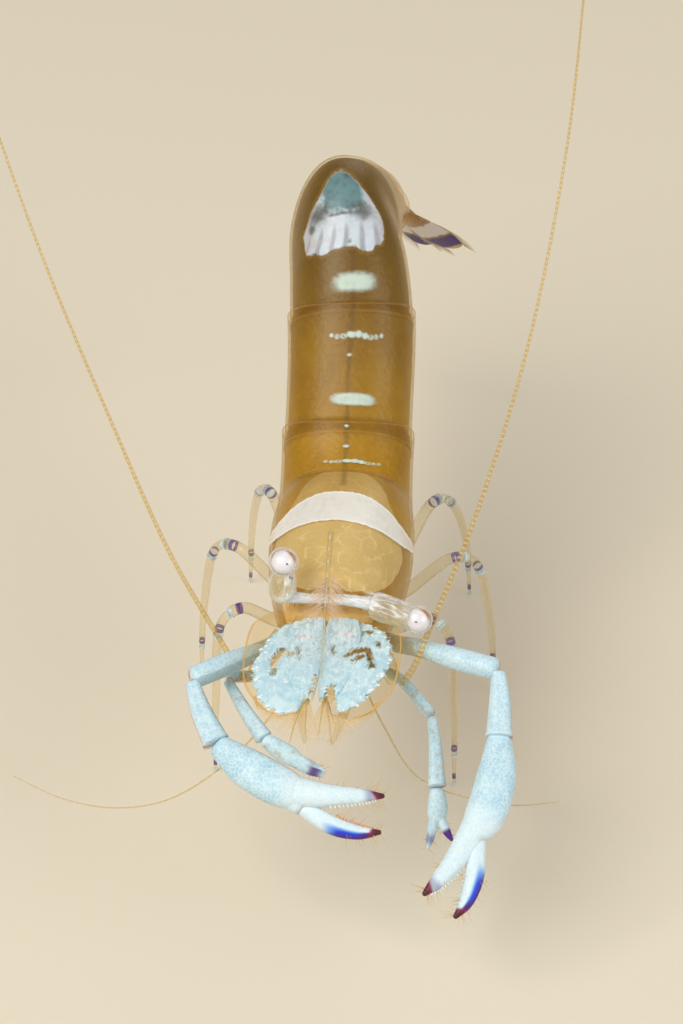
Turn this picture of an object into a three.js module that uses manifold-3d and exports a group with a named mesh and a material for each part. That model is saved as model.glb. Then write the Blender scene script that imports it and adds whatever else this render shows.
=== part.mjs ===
// A cleaner shrimp (an anemone shrimp of the genus Ancylomenes) at life size, standing on its six
// walking legs with the abdomen raised to its hump and both pairs of claws held out in front.
// Millimetres, +Z up. The animal faces -Y, so its own left side is +X.
import * as THREE from "three";
import { mergeVertices } from "three/addons/utils/BufferGeometryUtils.js";
import Module from "manifold-3d";

const wasm = await Module();
wasm.setup();

// ---- driving sizes ----
const THIN = 0.25; // half the thickness of the thinnest feeler, leg or plate
const CLEARANCE = 0.06; // free space between two neighbouring pieces
const FLOOR = 0;
const EYE_RADIUS = 0.38;
const PLEOPOD_LENGTH = 1.9;
const FAN_LENGTH = 2.4;
const SIDES = { left: 1, right: -1 };

// ---- colours ----
const shell = (color, roughness) => new THREE.MeshStandardMaterial({ color, roughness, metalness: 0 });
const COLOURS = {
  clear_body: shell(0xa88a4e, 0.3),
  clear_leg: shell(0xc9bfa0, 0.3),
  claw: shell(0xcfe3ec, 0.4),
  scale: shell(0xc4dfe8, 0.45),
  tail: shell(0xd8d3dc, 0.4),
  eye: shell(0xf0eef0, 0.15),
  feeler: shell(0xb99a52, 0.4),
};

// ---- sweeping a body along a curve ----
const vec = (p) => new THREE.Vector3(...p);
const bow = (c, n) => Math.sign(c) * Math.abs(c) ** (2 / n);

// A limb is a list of stations [[x, y, z], size], where size is a radius
// or [half width, height above the axis, depth below it].
function limb(stations, up = [0, 0, 1]) {
  const sizes = stations.map(([, s]) => (Array.isArray(s) ? s : [s, s, s]));
  const axis = new THREE.CatmullRomCurve3(stations.map(([at]) => vec(at)));
  const size = new THREE.CatmullRomCurve3(sizes.map(vec), false, "catmullrom", 0.5);
  return { axis, size, up: vec(up), last: stations.length - 1 };
}

// The axis point, the unit vectors along, across and above it, and the size, at u from 0 to 1.
function frameAt({ axis, size, up }, u) {
  const along = axis.getTangent(u);
  const above = up.clone().addScaledVector(along, -up.dot(along)).normalize();
  const across = above.clone().cross(along);
  return { at: axis.getPoint(u), along, across, above, size: size.getPoint(u) };
}

const oval = (angle, { x: w, y: up, z: down }) => [
  w * Math.sin(angle),
  (Math.cos(angle) > 0 ? up : down) * Math.cos(angle),
];

// A closed body swept along a limb from u = from to u = to, with every size larger by grow.
function sweep(line, { from = 0, to = 1, rings = 6, around = 8, grow = 0, section = oval } = {}) {
  const geometry = new THREE.CylinderGeometry(1, 1, 1, around, rings);
  const p = geometry.attributes.position;
  for (let i = 0; i < p.count; i++) {
    const t = 0.5 - p.getY(i);
    const u = THREE.MathUtils.lerp(from, to, t);
    const f = frameAt(line, u);
    const reach = Math.hypot(p.getX(i), p.getZ(i));
    const size = f.size.addScalar(grow);
    const [x, z] = section(Math.atan2(p.getX(i), p.getZ(i)), size, u, line);
    const end = t === 0 ? -grow : t === 1 ? grow : 0;
    const q = f.at.addScaledVector(f.across, x * reach).addScaledVector(f.above, z * reach);
    q.addScaledVector(f.along, end);
    p.setXYZ(i, q.x, q.y, q.z);
  }
  return geometry;
}

// ---- solids ----
function solid(geometry) {
  geometry.deleteAttribute("normal");
  geometry.deleteAttribute("uv");
  const merged = mergeVertices(geometry);
  const vertProperties = new Float32Array(merged.attributes.position.array);
  const triVerts = new Uint32Array(merged.index.array);
  return new wasm.Manifold(new wasm.Mesh({ numProp: 3, vertProperties, triVerts }));
}

function meshOf(name, manifold, material) {
  const { numProp, vertProperties, triVerts } = manifold.getMesh();
  const position = new Float32Array((vertProperties.length / numProp) * 3);
  for (let i = 0; i < position.length / 3; i++)
    position.set(vertProperties.subarray(i * numProp, i * numProp + 3), i * 3);
  const geometry = new THREE.BufferGeometry();
  geometry.setAttribute("position", new THREE.BufferAttribute(position, 3));
  geometry.setIndex(new THREE.BufferAttribute(triVerts, 1));
  geometry.computeVertexNormals();
  const mesh = new THREE.Mesh(geometry, material);
  mesh.name = name;
  return mesh;
}

// Every piece, in order. A later piece gives way to an earlier one, with CLEARANCE between them.
const pieces = [];
function piece(name, colour, ...bodies) {
  const build = (grow) => {
    const made = bodies.map(({ line, ...how }) => solid(sweep(line, { ...how, grow })));
    return made.reduce((a, b) => a.add(b));
  };
  pieces.push({ name, colour, build });
}

// ---- trunk: carapace and abdomen on one axis, from the brow to the end of the sixth segment ----
const trunk = limb([
  [[0, 0, 6.85], [0.85, 0.75, 1.2]],
  [[0, 0.35, 6.75], [1.15, 1.08, 1.7]],
  [[0.03, 1.1, 6.55], [1.47, 1.37, 2.05]],
  [[0.04, 2.4, 6.35], [1.75, 1.57, 2.15]],
  [[0.02, 3.9, 6.2], [1.83, 1.6, 2.05]],
  [[-0.03, 5.35, 6.15], [1.72, 1.5, 1.8]],
  [[-0.12, 7.35, 7.25], [1.64, 1.5, 1.95]],
  [[-0.2, 9.2, 8.8], [1.62, 1.6, 2.1]],
  [[-0.38, 10.5, 9.8], [1.54, 1.85, 1.95]],
  [[-0.58, 11.5, 10.25], [1.4, 2.25, 1.9]],
  [[-0.5, 12.3, 10.2], [1.3, 1.75, 1.8]],
  [[-0.42, 13.35, 9.8], [1.18, 1.35, 1.5]],
  [[-0.3, 14.4, 9.25], [1.05, 1.1, 1.25]],
  [[0, 16.1, 8.05], [0.78, 0.72, 0.8]],
]);
const station = (k) => k / trunk.last;
const HUMP = station(9);
// Where the carapace and each of the six segments ends.
const SEGMENT_ENDS = [5, 5.85, 7.25, 10, 11, 12, 13].map(station);
const SEAM = 0.005; // share of the trunk axis left free between two segments

// The back is round, rising to a narrow arch at the hump. The sides of a segment hang down as
// flaps, the pleura, with the belly drawn up between them. Each plate widens to its rear edge,
// so that it stands a little proud of the next one.
function trunkSection(angle, size, u) {
  const hump = Math.exp(-(((u - HUMP) / 0.07) ** 2));
  const c = Math.cos(angle);
  const k = SEGMENT_ENDS.findIndex((end) => u < end);
  const start = k > 0 ? SEGMENT_ENDS[k - 1] : 0;
  const f = (u - start) / (SEGMENT_ENDS[k] - start);
  const flare = k > 0 ? 1 + (k === 3 ? 0.07 : 0.04) * f ** 2 : 1;
  const x = size.x * flare * bow(Math.sin(angle), 2.3);
  if (c > 0) return [x, size.y * flare * bow(c, 2.1 - 0.5 * hump)];
  const lobe = k > 0 ? 0.78 + 0.22 * Math.sin(Math.PI * THREE.MathUtils.clamp(f, 0, 1)) ** 0.7 : 1;
  const belly = k > 0 ? 0.35 : 0.15;
  return [x, size.z * lobe * bow(c, 2.6) * (1 - belly * c * c)];
}

const onTrunk = { line: trunk, around: 16, section: trunkSection };
piece("carapace", "clear_body", { ...onTrunk, to: SEGMENT_ENDS[0] - SEAM / 2, rings: 9, around: 18 });
for (let k = 1; k < SEGMENT_ENDS.length; k++) {
  const from = SEGMENT_ENDS[k - 1] + SEAM / 2;
  const to = SEGMENT_ENDS[k] - SEAM / 2;
  const rings = k === 3 ? 8 : 4;
  piece(`abdomen_${k}`, "clear_body", { ...onTrunk, from, to, rings });
}

// ---- rostrum: a saw-toothed blade that runs forward from the brow ----
const ROSTRUM = { back: 2.0, tip: -3.95, low: 7.86, rise: 0.32, half: 0.2, teeth: 9, turn: 0.05 };
function rostrumGeometry() {
  const r = ROSTRUM;
  const length = r.back - r.tip;
  const low = (t) => r.low + r.rise * t;
  const high = (t) => low(t) + 0.05 + 0.36 * Math.sin(Math.PI * (0.12 + 0.8 * t)) * (1 - t ** 4);
  const outline = new THREE.Shape();
  outline.moveTo(r.back, r.low);
  for (let k = 1; k <= 4; k++) outline.lineTo(r.back - (length * k) / 4, low(k / 4));
  for (let k = r.teeth; k > 0; k--) {
    const t = k / (r.teeth + 1);
    outline.lineTo(r.back - length * t, high(t) + 0.13);
    outline.lineTo(r.back - length * (t - 0.06), high(t - 0.06));
  }
  const blade = new THREE.ExtrudeGeometry(outline, { depth: 2 * r.half, bevelEnabled: false });
  blade.translate(0, 0, -r.half);
  blade.applyMatrix4(new THREE.Matrix4().set(0, 0, 1, 0, 1, 0, 0, 0, 0, 1, 0, 0, 0, 0, 0, 1));
  return blade.rotateZ(r.turn);
}
pieces.push({ name: "rostrum", colour: "clear_body", build: () => solid(rostrumGeometry()) });

// ---- eyes on their stalks: the left one points out to the side, the right one is raised ----
const EYE_AT = { left: [2.24, -0.21, 7.06], right: [-1.08, -0.01, 8.49] };
const EYESTALKS = {
  left: limb([
    [[0.24, -0.2, 7.58], THIN],
    [[0.85, -0.23, 7.56], THIN],
    [[1.3, -0.24, 7.44], 0.3],
    [[1.75, -0.23, 7.26], 0.29],
    [[2.15, -0.21, 7.1], 0.27],
  ]),
  right: limb(
    [
      [[-0.24, -0.2, 7.58], THIN],
      [[-0.75, -0.27, 7.57], THIN],
      [[-1.05, -0.31, 7.7], 0.29],
      [[-1.09, -0.2, 8.05], 0.28],
      [[-1.08, -0.05, 8.4], 0.27],
    ],
    [0, 1, 0],
  ),
};
for (const side of Object.keys(SIDES)) {
  const globe = (grow) => new THREE.SphereGeometry(EYE_RADIUS + grow, 10, 7);
  const build = (grow) => solid(globe(grow).translate(...EYE_AT[side]));
  pieces.push({ name: `eye_${side}`, colour: "eye", build });
  piece(`eyestalk_${side}`, "claw", { line: EYESTALKS[side], rings: 6 });
}

// ---- feelers and mouth limbs, given on the left side and mirrored for the right ----
const mirrored = (stations, sign) => stations.map(([[x, y, z], size]) => [[x * sign, y, z], size]);

const ANTENNULE = [
  [[0.48, -0.55, 7.25], [0.3, 0.24, 0.24]],
  [[0.52, -1.1, 7.27], [0.36, 0.26, 0.25]],
  [[0.5, -1.9, 7.3], [0.3, THIN, THIN]],
  [[0.42, -2.8, 7.33], [THIN, THIN, THIN]],
  [[0.36, -3.4, 7.33], [THIN, THIN, THIN]],
];
const ANTENNULE_FLAGELLUM = [
  [[0.36, -3.3, 7.33], THIN],
  [[0.38, -3.8, 7.25], THIN],
  [[0.43, -4.3, 7.05], THIN],
  [[0.5, -4.75, 6.8], THIN],
];
const ANTENNA_SCALE = [
  [[0.9, 0.35, 6.6], [0.45, THIN, THIN]],
  [[1.02, -0.4, 6.65], [0.8, THIN, THIN]],
  [[1.04, -1.6, 6.7], [0.88, THIN, THIN]],
  [[0.98, -2.6, 6.73], [0.84, THIN, THIN]],
  [[0.8, -3.3, 6.76], [0.6, THIN, THIN]],
  [[0.62, -3.75, 6.77], [0.26, 0.2, 0.2]],
];
const ANTENNA_BASE = [
  [[1.0, 0.6, 5.9], [0.32, 0.28, 0.28]],
  [[1.4, -0.3, 5.85], [0.3, THIN, THIN]],
  [[1.75, -1.0, 5.7], [THIN, THIN, THIN]],
];
const MAXILLIPED = [
  [[0.45, 1.1, 4.6], THIN],
  [[0.58, -0.2, 4.75], THIN],
  [[0.52, -1.5, 5.0], THIN],
  [[0.33, -2.7, 5.05], THIN],
];
const ANTENNAE = {
  left: [
    [[1.9, -1.15, 5.72], THIN],
    [[2.2, -0.7, 6.0], THIN],
    [[2.5, -0.05, 6.6], THIN],
    [[3.42, 1.8, 8.52], THIN],
    [[4.52, 4.72, 11.8], THIN],
    [[5.22, 8.37, 15.38], THIN],
    [[5.42, 12.0, 17.7], THIN],
    [[5.5, 15.6, 18.9], THIN],
  ],
  right: [
    [[-1.9, -1.15, 5.62], THIN],
    [[-2.15, -0.75, 5.48], THIN],
    [[-2.55, -0.15, 5.75], THIN],
    [[-3.95, 0.6, 8.05], THIN],
    [[-5.55, 2.2, 10.87], THIN],
    [[-7.38, 4.5, 13.87], THIN],
    [[-9.2, 7.6, 16.6], THIN],
    [[-10.9, 11.2, 18.2], THIN],
  ],
};
for (const [side, sign] of Object.entries(SIDES)) {
  const line = (stations) => limb(mirrored(stations, sign));
  piece(
    `antennule_${side}`,
    "scale",
    { line: line(ANTENNULE), rings: 6 },
    { line: line(ANTENNULE_FLAGELLUM), rings: 3, around: 6 },
  );
  piece(`antenna_scale_${side}`, "scale", { line: line(ANTENNA_SCALE), rings: 7, around: 10 });
  piece(`antenna_base_${side}`, "clear_leg", { line: line(ANTENNA_BASE), rings: 3 });
  piece(`antenna_${side}`, "feeler", { line: limb(ANTENNAE[side], [1, 0, 0]), rings: 18, around: 6 });
  piece(`maxilliped_${side}`, "clear_leg", { line: line(MAXILLIPED), rings: 4, around: 6 });
}

// ---- second legs: the large claws ----
// Each claw is posed on its own, so both sides have their own joints.
const CLAWS = {
  left: {
    arm: [[0.8, 1.9, 4.75], [1.6, 0.9, 5.35], [2.35, 0.03, 5.95], [3.3, -0.6, 6.2], [4.2, -0.9, 6.22]],
    wrist: [[4.28, -1.0, 6.18], [4.36, -1.6, 5.82], [4.4, -2.38, 5.33]],
    palm: [[4.4, -2.46, 5.27], [4.4, -3.2, 4.8], [4.2, -4.05, 4.28], [3.82, -4.72, 3.84]],
    thumb: [[3.95, -4.4, 4.05], [3.53, -5.1, 3.65], [3.1, -5.65, 3.36], [2.82, -5.95, 3.22]],
    finger: [[4.06, -4.82, 3.78], [4.03, -5.35, 3.38], [3.86, -5.88, 3.01], [3.6, -6.23, 2.79]],
    flat: [0.12, -0.5, 0.85],
  },
  right: {
    arm: [[-0.8, 1.9, 4.75], [-1.3, 0.6, 5.4], [-1.8, -0.6, 6.02], [-2.45, -1.35, 6.22], [-3.12, -1.85, 6.2]],
    wrist: [[-3.15, -1.97, 6.12], [-2.88, -2.6, 5.8], [-2.45, -3.28, 5.42]],
    palm: [[-2.38, -3.36, 5.36], [-1.65, -3.85, 5.15], [-0.8, -4.25, 4.95], [0.0, -4.5, 4.8]],
    thumb: [[-0.3, -4.4, 4.9], [0.45, -4.48, 4.96], [1.2, -4.47, 4.99], [1.78, -4.42, 4.98]],
    finger: [[0.0, -4.68, 4.52], [0.55, -4.9, 4.36], [1.2, -5.0, 4.27], [1.74, -4.97, 4.3]],
    flat: [0.1, -0.62, 0.78],
  },
};
const PALM_SIZES = [[0.27, 0.26, 0.26], [0.48, 0.38, 0.38], [0.51, 0.4, 0.4], [0.36, 0.32, 0.32]];
const THUMB_SIZES = [[0.3, 0.26, 0.26], [0.27, THIN, THIN], 0.2, 0.09];
const FINGER_SIZES = [0.2, 0.22, [0.17, 0.18, 0.18], 0.08];
const WRIST_SIZES = [THIN, [0.29, 0.27, 0.27], [0.33, 0.3, 0.3]];
const ARM_SIZES = [0.3, 0.28, THIN, 0.29, 0.29];
const thick = (points, sizes) => points.map((at, i) => [at, sizes[i]]);
for (const side of Object.keys(SIDES)) {
  const c = CLAWS[side];
  const part = (points, sizes) => limb(thick(points, sizes), c.flat);
  piece(
    `claw_palm_${side}`,
    "claw",
    { line: part(c.palm, PALM_SIZES), rings: 6, around: 10 },
    { line: part(c.thumb, THUMB_SIZES), rings: 5 },
  );
  piece(`claw_finger_${side}`, "claw", { line: part(c.finger, FINGER_SIZES), rings: 5 });
  piece(`claw_wrist_${side}`, "claw", { line: part(c.wrist, WRIST_SIZES), rings: 4 });
  piece(`claw_arm_${side}`, "claw", { line: limb(thick(c.arm, ARM_SIZES)), rings: 7 });
}

// ---- first legs: the small claws that feed the mouth ----
const PICKERS = {
  left: {
    arm: [[0.6, 1.3, 4.6], [1.15, 0.5, 4.85], [1.85, -0.35, 5.22], [2.64, -1.26, 4.96]],
    wrist: [[2.7, -1.38, 4.9], [2.84, -2.1, 4.45], [2.93, -2.8, 3.99]],
    palm: [[2.94, -2.9, 3.91], [2.98, -3.2, 3.66], [2.98, -3.55, 3.4]],
    thumb: [[2.96, -3.4, 3.5], [2.88, -3.8, 3.22], [2.8, -4.1, 3.04]],
    finger: [[3.05, -3.45, 3.44], [3.25, -3.68, 3.26], [3.4, -3.84, 3.12]],
  },
  right: {
    arm: [[-0.6, 1.3, 4.45], [-1.05, 0.3, 4.75], [-1.65, -0.45, 5.2], [-2.36, -0.93, 5.5]],
    wrist: [[-2.38, -1.05, 5.45], [-1.9, -1.7, 5.1], [-1.4, -2.28, 4.78]],
    palm: [[-1.3, -2.36, 4.72], [-0.9, -2.55, 4.58], [-0.45, -2.73, 4.44]],
    thumb: [[-0.6, -2.64, 4.5], [-0.2, -2.76, 4.4], [0.2, -2.86, 4.32]],
    finger: [[-0.55, -2.74, 4.4], [-0.18, -2.95, 4.2], [0.15, -3.08, 4.1]],
  },
};
for (const side of Object.keys(SIDES)) {
  const p = PICKERS[side];
  const part = (points, sizes) => limb(thick(points, sizes), CLAWS[side].flat);
  piece(
    `picker_claw_${side}`,
    "claw",
    { line: part(p.palm, [0.2, THIN, 0.24]), rings: 4 },
    { line: part(p.thumb, [0.18, 0.15, 0.08]), rings: 3, around: 6 },
    { line: part(p.finger, [0.17, 0.14, 0.08]), rings: 3, around: 6 },
  );
  piece(`picker_wrist_${side}`, "claw", { line: part(p.wrist, [0.22, 0.24, THIN]), rings: 4 });
  const arm = limb(thick(p.arm, [THIN, THIN, 0.24, 0.24]));
  piece(`picker_arm_${side}`, "clear_leg", { line: arm, rings: 6 });
}

// ---- walking legs: two points at the hip, two at the knee, the shin and the foot ----
const WALKING_LEGS = {
  3: [
    [0.75, 2.8, 4.6], [1.4, 2.55, 4.5], [2.4, 2.2, 5.15], [2.85, 1.95, 4.9],
    [3.05, 1.85, 2.6], [3.1, 1.75, 0],
  ],
  4: [
    [0.78, 3.7, 4.55], [1.5, 4.0, 4.45], [2.75, 4.6, 5.2], [3.3, 4.95, 4.9],
    [3.75, 5.45, 2.6], [3.9, 5.6, 0],
  ],
  5: [
    [0.75, 4.6, 4.6], [1.3, 5.4, 4.4], [2.05, 6.9, 5.1], [2.4, 7.6, 4.8],
    [2.85, 9.1, 2.5], [3.0, 9.6, 0],
  ],
};
const LEG_RADII = [0.3, 0.28, 0.27, 0.27, THIN, 0.24];
for (const [number, points] of Object.entries(WALKING_LEGS))
  for (const [side, sign] of Object.entries(SIDES)) {
    const line = limb(mirrored(thick(points, LEG_RADII), sign), [0, 1, 0]);
    piece(`leg_${number}_${side}`, "clear_leg", { line, rings: 12, around: 6 });
  }

// ---- swimming legs, a pair under each of the first five segments ----
for (let k = 1; k <= 5; k++)
  for (const [side, sign] of Object.entries(SIDES)) {
    const f = frameAt(trunk, (SEGMENT_ENDS[k - 1] + SEGMENT_ENDS[k]) / 2);
    const point = (down, back) =>
      f.at
        .clone()
        .addScaledVector(f.across, -0.55 * sign)
        .addScaledVector(f.above, -down)
        .addScaledVector(f.along, back)
        .toArray();
    const root = 0.6 * f.size.z;
    const line = limb(
      [
        [point(root, 0), [0.28, THIN, THIN]],
        [point(root + PLEOPOD_LENGTH * 0.35, 0.1), [THIN, THIN, THIN]],
        [point(root + PLEOPOD_LENGTH * 0.7, 0.45), [0.36, THIN, THIN]],
        [point(root + PLEOPOD_LENGTH, 0.95), [0.14, 0.2, 0.2]],
      ],
      f.along.toArray(),
    );
    piece(`swimmeret_${k}_${side}`, "clear_leg", { line, rings: 4, around: 6 });
  }

// ---- tail fan: the telson in the middle and two paddles on each side ----
const tail = frameAt(trunk, 1);
const FAN_DROP = 0.5; // how much more steeply the fan points down than the last segment does
const FAN_CUP = 0.15; // how far the outer paddles roll down at their outer edges
const fanBack = tail.along.clone().addScaledVector(tail.above, -FAN_DROP).normalize();
function fanBlade(spread, widths, lift, length, start) {
  const out = tail.across.clone().multiplyScalar(-Math.sin(spread));
  const way = fanBack.clone().multiplyScalar(Math.cos(spread)).add(out);
  const above = way.clone().cross(tail.across).normalize();
  const root = tail.at
    .clone()
    .addScaledVector(tail.across, -start)
    .addScaledVector(tail.above, lift)
    .addScaledVector(tail.along, 0.12);
  const stations = widths.map((w, i) => [
    root.clone().addScaledVector(way, (length * i) / (widths.length - 1)).toArray(),
    [w, THIN, THIN],
  ]);
  return limb(stations, above.addScaledVector(tail.across, -FAN_CUP * spread).toArray());
}
piece("telson", "tail", {
  line: fanBlade(0, [0.42, 0.42, 0.34, 0.2], 0.5, FAN_LENGTH, 0),
  rings: 4,
});
for (const [side, sign] of Object.entries(SIDES)) {
  const inner = fanBlade(sign * 0.25, [0.25, 0.42, 0.5, 0.28], 0.26, FAN_LENGTH, sign * 0.36);
  const outer = fanBlade(sign * 0.7, [0.25, 0.5, 0.6, 0.4], 0.05, FAN_LENGTH - 0.1, sign * 0.45);
  piece(`tail_inner_${side}`, "tail", { line: inner, rings: 4 });
  piece(`tail_outer_${side}`, "tail", { line: outer, rings: 4 });
}

// ---- fitting the pieces to each other and to the floor ----
const ground = new THREE.BoxGeometry(60, 60, 4).translate(0, 0, FLOOR - 2);
const groundSolid = solid(ground);
const near = (a, b) => {
  const [p, q] = [a.boundingBox(), b.boundingBox()];
  return [0, 1, 2].every((i) => p.min[i] < q.max[i] && q.min[i] < p.max[i]);
};
const largest = (s) => s.decompose().reduce((a, b) => (b.volume() > a.volume() ? b : a));

const shrimp = new THREE.Group();
const fitted = [];
for (const { name, colour, build } of pieces) {
  let made = build(0);
  for (const other of fitted) if (near(made, other.grown)) made = made.subtract(other.grown);
  if (near(made, groundSolid)) made = made.subtract(groundSolid);
  made = largest(made);
  fitted.push({ grown: build(CLEARANCE) });
  shrimp.add(meshOf(name, made, COLOURS[colour]));
}

// The origin is on the floor, under the middle of the animal's box.
const box = new THREE.Box3().setFromObject(shrimp);
const middle = box.getCenter(new THREE.Vector3());
shrimp.position.set(-middle.x, -middle.y, -FLOOR);

const part = new THREE.Group();
part.add(shrimp);
export default part;
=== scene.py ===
"""A cleaner shrimp as a still, life-size museum model: clear amber shell plates with white marks over
a soft body, pale blue claws with coloured tips, and two ringed feelers.

Lengths in this file are millimetres from the animal's own origin, with the animal facing -Y, its own
left side at +X and the floor at z = 0. They become metres in the row frame when a piece is made."""

import math
from types import SimpleNamespace

import bpy
import numpy as np
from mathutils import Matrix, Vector


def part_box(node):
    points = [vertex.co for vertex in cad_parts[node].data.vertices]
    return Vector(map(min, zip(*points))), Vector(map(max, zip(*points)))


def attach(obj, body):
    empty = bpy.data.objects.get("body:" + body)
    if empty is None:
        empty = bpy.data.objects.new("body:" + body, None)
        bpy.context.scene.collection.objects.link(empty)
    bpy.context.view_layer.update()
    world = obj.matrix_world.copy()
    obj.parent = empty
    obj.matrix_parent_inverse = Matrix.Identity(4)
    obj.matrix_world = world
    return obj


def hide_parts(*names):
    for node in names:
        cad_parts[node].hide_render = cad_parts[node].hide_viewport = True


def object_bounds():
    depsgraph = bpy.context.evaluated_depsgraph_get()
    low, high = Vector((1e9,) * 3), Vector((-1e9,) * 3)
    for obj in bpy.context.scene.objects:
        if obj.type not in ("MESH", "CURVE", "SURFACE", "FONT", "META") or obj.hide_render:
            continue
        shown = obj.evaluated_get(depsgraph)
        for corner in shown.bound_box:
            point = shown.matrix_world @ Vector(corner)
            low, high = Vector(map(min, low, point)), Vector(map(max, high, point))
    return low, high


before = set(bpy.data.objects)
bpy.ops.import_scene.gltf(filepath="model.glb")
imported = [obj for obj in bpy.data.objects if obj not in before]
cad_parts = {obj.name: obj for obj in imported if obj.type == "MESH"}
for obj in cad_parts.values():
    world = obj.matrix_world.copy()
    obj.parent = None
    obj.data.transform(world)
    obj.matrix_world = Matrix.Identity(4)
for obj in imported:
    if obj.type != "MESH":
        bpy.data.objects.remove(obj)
CAD_LOW, CAD_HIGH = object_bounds()

MM = 0.001
SIDES = {"left": 1, "right": -1}
EYE_AT = {"left": (2.24, -0.21, 7.06), "right": (-1.08, -0.01, 8.49)}
EYE_LOW, EYE_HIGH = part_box("eye_left")
ORIGIN = (np.array(EYE_LOW) + np.array(EYE_HIGH)) / 2 - MM * np.array(EYE_AT["left"])
RANDOM = np.random.default_rng(11)


def unit(v):
    v = np.asarray(v, float)
    return v / np.maximum(np.linalg.norm(v, axis=-1, keepdims=True), 1e-9)


def smooth_step(x, low, high):
    t = np.clip((x - low) / (high - low), 0, 1)
    return t * t * (3 - 2 * t)


def peak(x, middle, wide, power=2):
    """1 at middle, and falling towards 0 beyond wide on either side."""
    return np.exp(-(((x - middle) / wide) ** power))


def wrapped(angle):
    """The same angle between -pi and pi."""
    return np.angle(np.exp(1j * angle))


# ---- curves ----
def spans(points, centripetal):
    """Cubic coefficients of each span of a Catmull-Rom curve through the points."""
    p = np.vstack([2 * points[0] - points[1], points, 2 * points[-1] - points[-2]])
    made = []
    for before, start, stop, after in zip(p, p[1:], p[2:], p[3:]):
        leave, arrive = (stop - before) / 2, (after - start) / 2
        if centripetal:
            pairs = ((before, start), (start, stop), (stop, after))
            d0, d1, d2 = (max(np.sum((b - a) ** 2) ** 0.25, 1e-4) for a, b in pairs)
            step = (stop - start) / d1
            leave = d1 * ((start - before) / d0 - (stop - before) / (d0 + d1) + step)
            arrive = d1 * (step - (after - start) / (d1 + d2) + (after - stop) / d2)
        square = 3 * (stop - start) - 2 * leave - arrive
        cube = 2 * (start - stop) + leave + arrive
        made.append([start, leave, square, cube])
    return np.array(made)


def on_spans(coefficients, u, slope=False):
    """The curve, or its slope in each span, at each u from 0 to 1."""
    share = u * len(coefficients)
    k = np.clip(share.astype(int), 0, len(coefficients) - 1)
    w = (share - k)[:, None]
    a, b, c, d = (coefficients[k, i] for i in range(4))
    return b + w * (2 * c + 3 * w * d) if slope else a + w * (b + w * (c + w * d))


class Line:
    """A smooth curve through stations [place, size], as the CAD pieces are swept. A size is a radius
    or (half width, height above the axis, depth below it)."""

    def __init__(self, stations, up=(0, 0, 1)):
        self.places = spans(np.array([place for place, _ in stations], float), True)
        self.sizes = spans(np.array([np.broadcast_to(size, 3) for _, size in stations], float), False)
        self.up = np.array(up, float)

    def frame(self, u):
        """The axis point, the directions along, across and above it, and the size, at each u."""
        u = np.asarray(u, float)
        flat = u.ravel()
        along = unit(on_spans(self.places, flat, slope=True))
        above = unit(self.up - along * (along @ self.up)[:, None])
        across = np.cross(above, along)
        found = (on_spans(self.places, flat), along, across, above, on_spans(self.sizes, flat))
        return [f.reshape(u.shape + (3,)) for f in found]

    def at(self, u):
        """The frame at one place."""
        return [f[0] for f in self.frame([u])]

    def around(self, u, angle):
        """The axis points, the directions along it and out from it at each angle, and the sizes."""
        at, along, across, above, size = self.frame(u)
        return at, along, across * np.sin(angle)[:, None] + above * np.cos(angle)[:, None], size

    def lengths(self, start=0.0, stop=1.0, samples=600):
        """Values of u, and how many millimetres along the line each one is."""
        u = np.linspace(start, stop, samples)
        steps = np.linalg.norm(np.diff(self.frame(u)[0], axis=0), axis=1)
        return u, np.concatenate([[0], np.cumsum(steps)])

    def nearest(self, points, samples=240):
        """For each point: the nearest u, the millimetres to the line's end, and the angle round it."""
        u, gone = self.lengths(samples=samples)
        at, along, across, above, _ = self.frame(u)
        square = np.sum(points**2, 1)[:, None] - 2 * points @ at.T + np.sum(at**2, 1)
        k = square.argmin(1)
        off = points - at[k]
        angle = np.arctan2(np.sum(off * across[k], 1), np.sum(off * above[k], 1))
        return u[k], gone[-1] - gone[k] - np.sum(off * along[k], 1), angle


def thick(points, sizes):
    """Stations made of places and sizes."""
    return list(zip(points, sizes))


def mirrored(stations, sign):
    """The stations on the side of the animal that sign gives."""
    return [[(x * sign, y, z), size] for (x, y, z), size in stations]


def ovals(*sizes):
    """Sizes as high above the axis as they are deep below it."""
    return [(wide, high, high) for wide, high in sizes]


def straight(start, stop, size, tip=None):
    """A short straight line from start to stop."""
    start, stop = np.array(start, float), np.array(stop, float)
    end = size if tip is None else tip
    up = (0, 0, 1) if abs(unit(stop - start)[2]) < 0.9 else (0, 1, 0)
    sizes = (size, tuple(np.add(np.broadcast_to(size, 3), np.broadcast_to(end, 3)) / 2), end)
    return Line(thick([start, (start + stop) / 2, stop], sizes), up)


# ---- sections: the place on an outline at each angle ----
def oval(angle, size, u):
    c = np.cos(angle)
    return size[..., 0] * np.sin(angle), np.where(c > 0, size[..., 1], size[..., 2]) * c


def bow(c, power):
    """A sine or cosine drawn out towards 1 or -1 by a power above 2."""
    return np.sign(c) * np.abs(c) ** (2 / power)


def boxy(power):
    """A section between an oval, at power 2, and a rectangle."""

    def section(angle, size, u):
        c = bow(np.cos(angle), power)
        return size[..., 0] * bow(np.sin(angle), power), np.where(c > 0, size[..., 1], size[..., 2]) * c

    return section


def blade(bend, rib_at, rib, edge=0.35):
    """A leaf that is thin at its edges and bent down there, with a rib along it."""

    def section(angle, size, u):
        x, z = oval(angle, size, u)
        s = np.sin(angle)
        ridge = rib * peak(s, rib_at, 0.07) * (np.cos(angle) > 0)
        return x, z * (edge + (1 - edge) * (1 - s**2) ** 0.5) + ridge - bend * s**2

    return section


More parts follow.
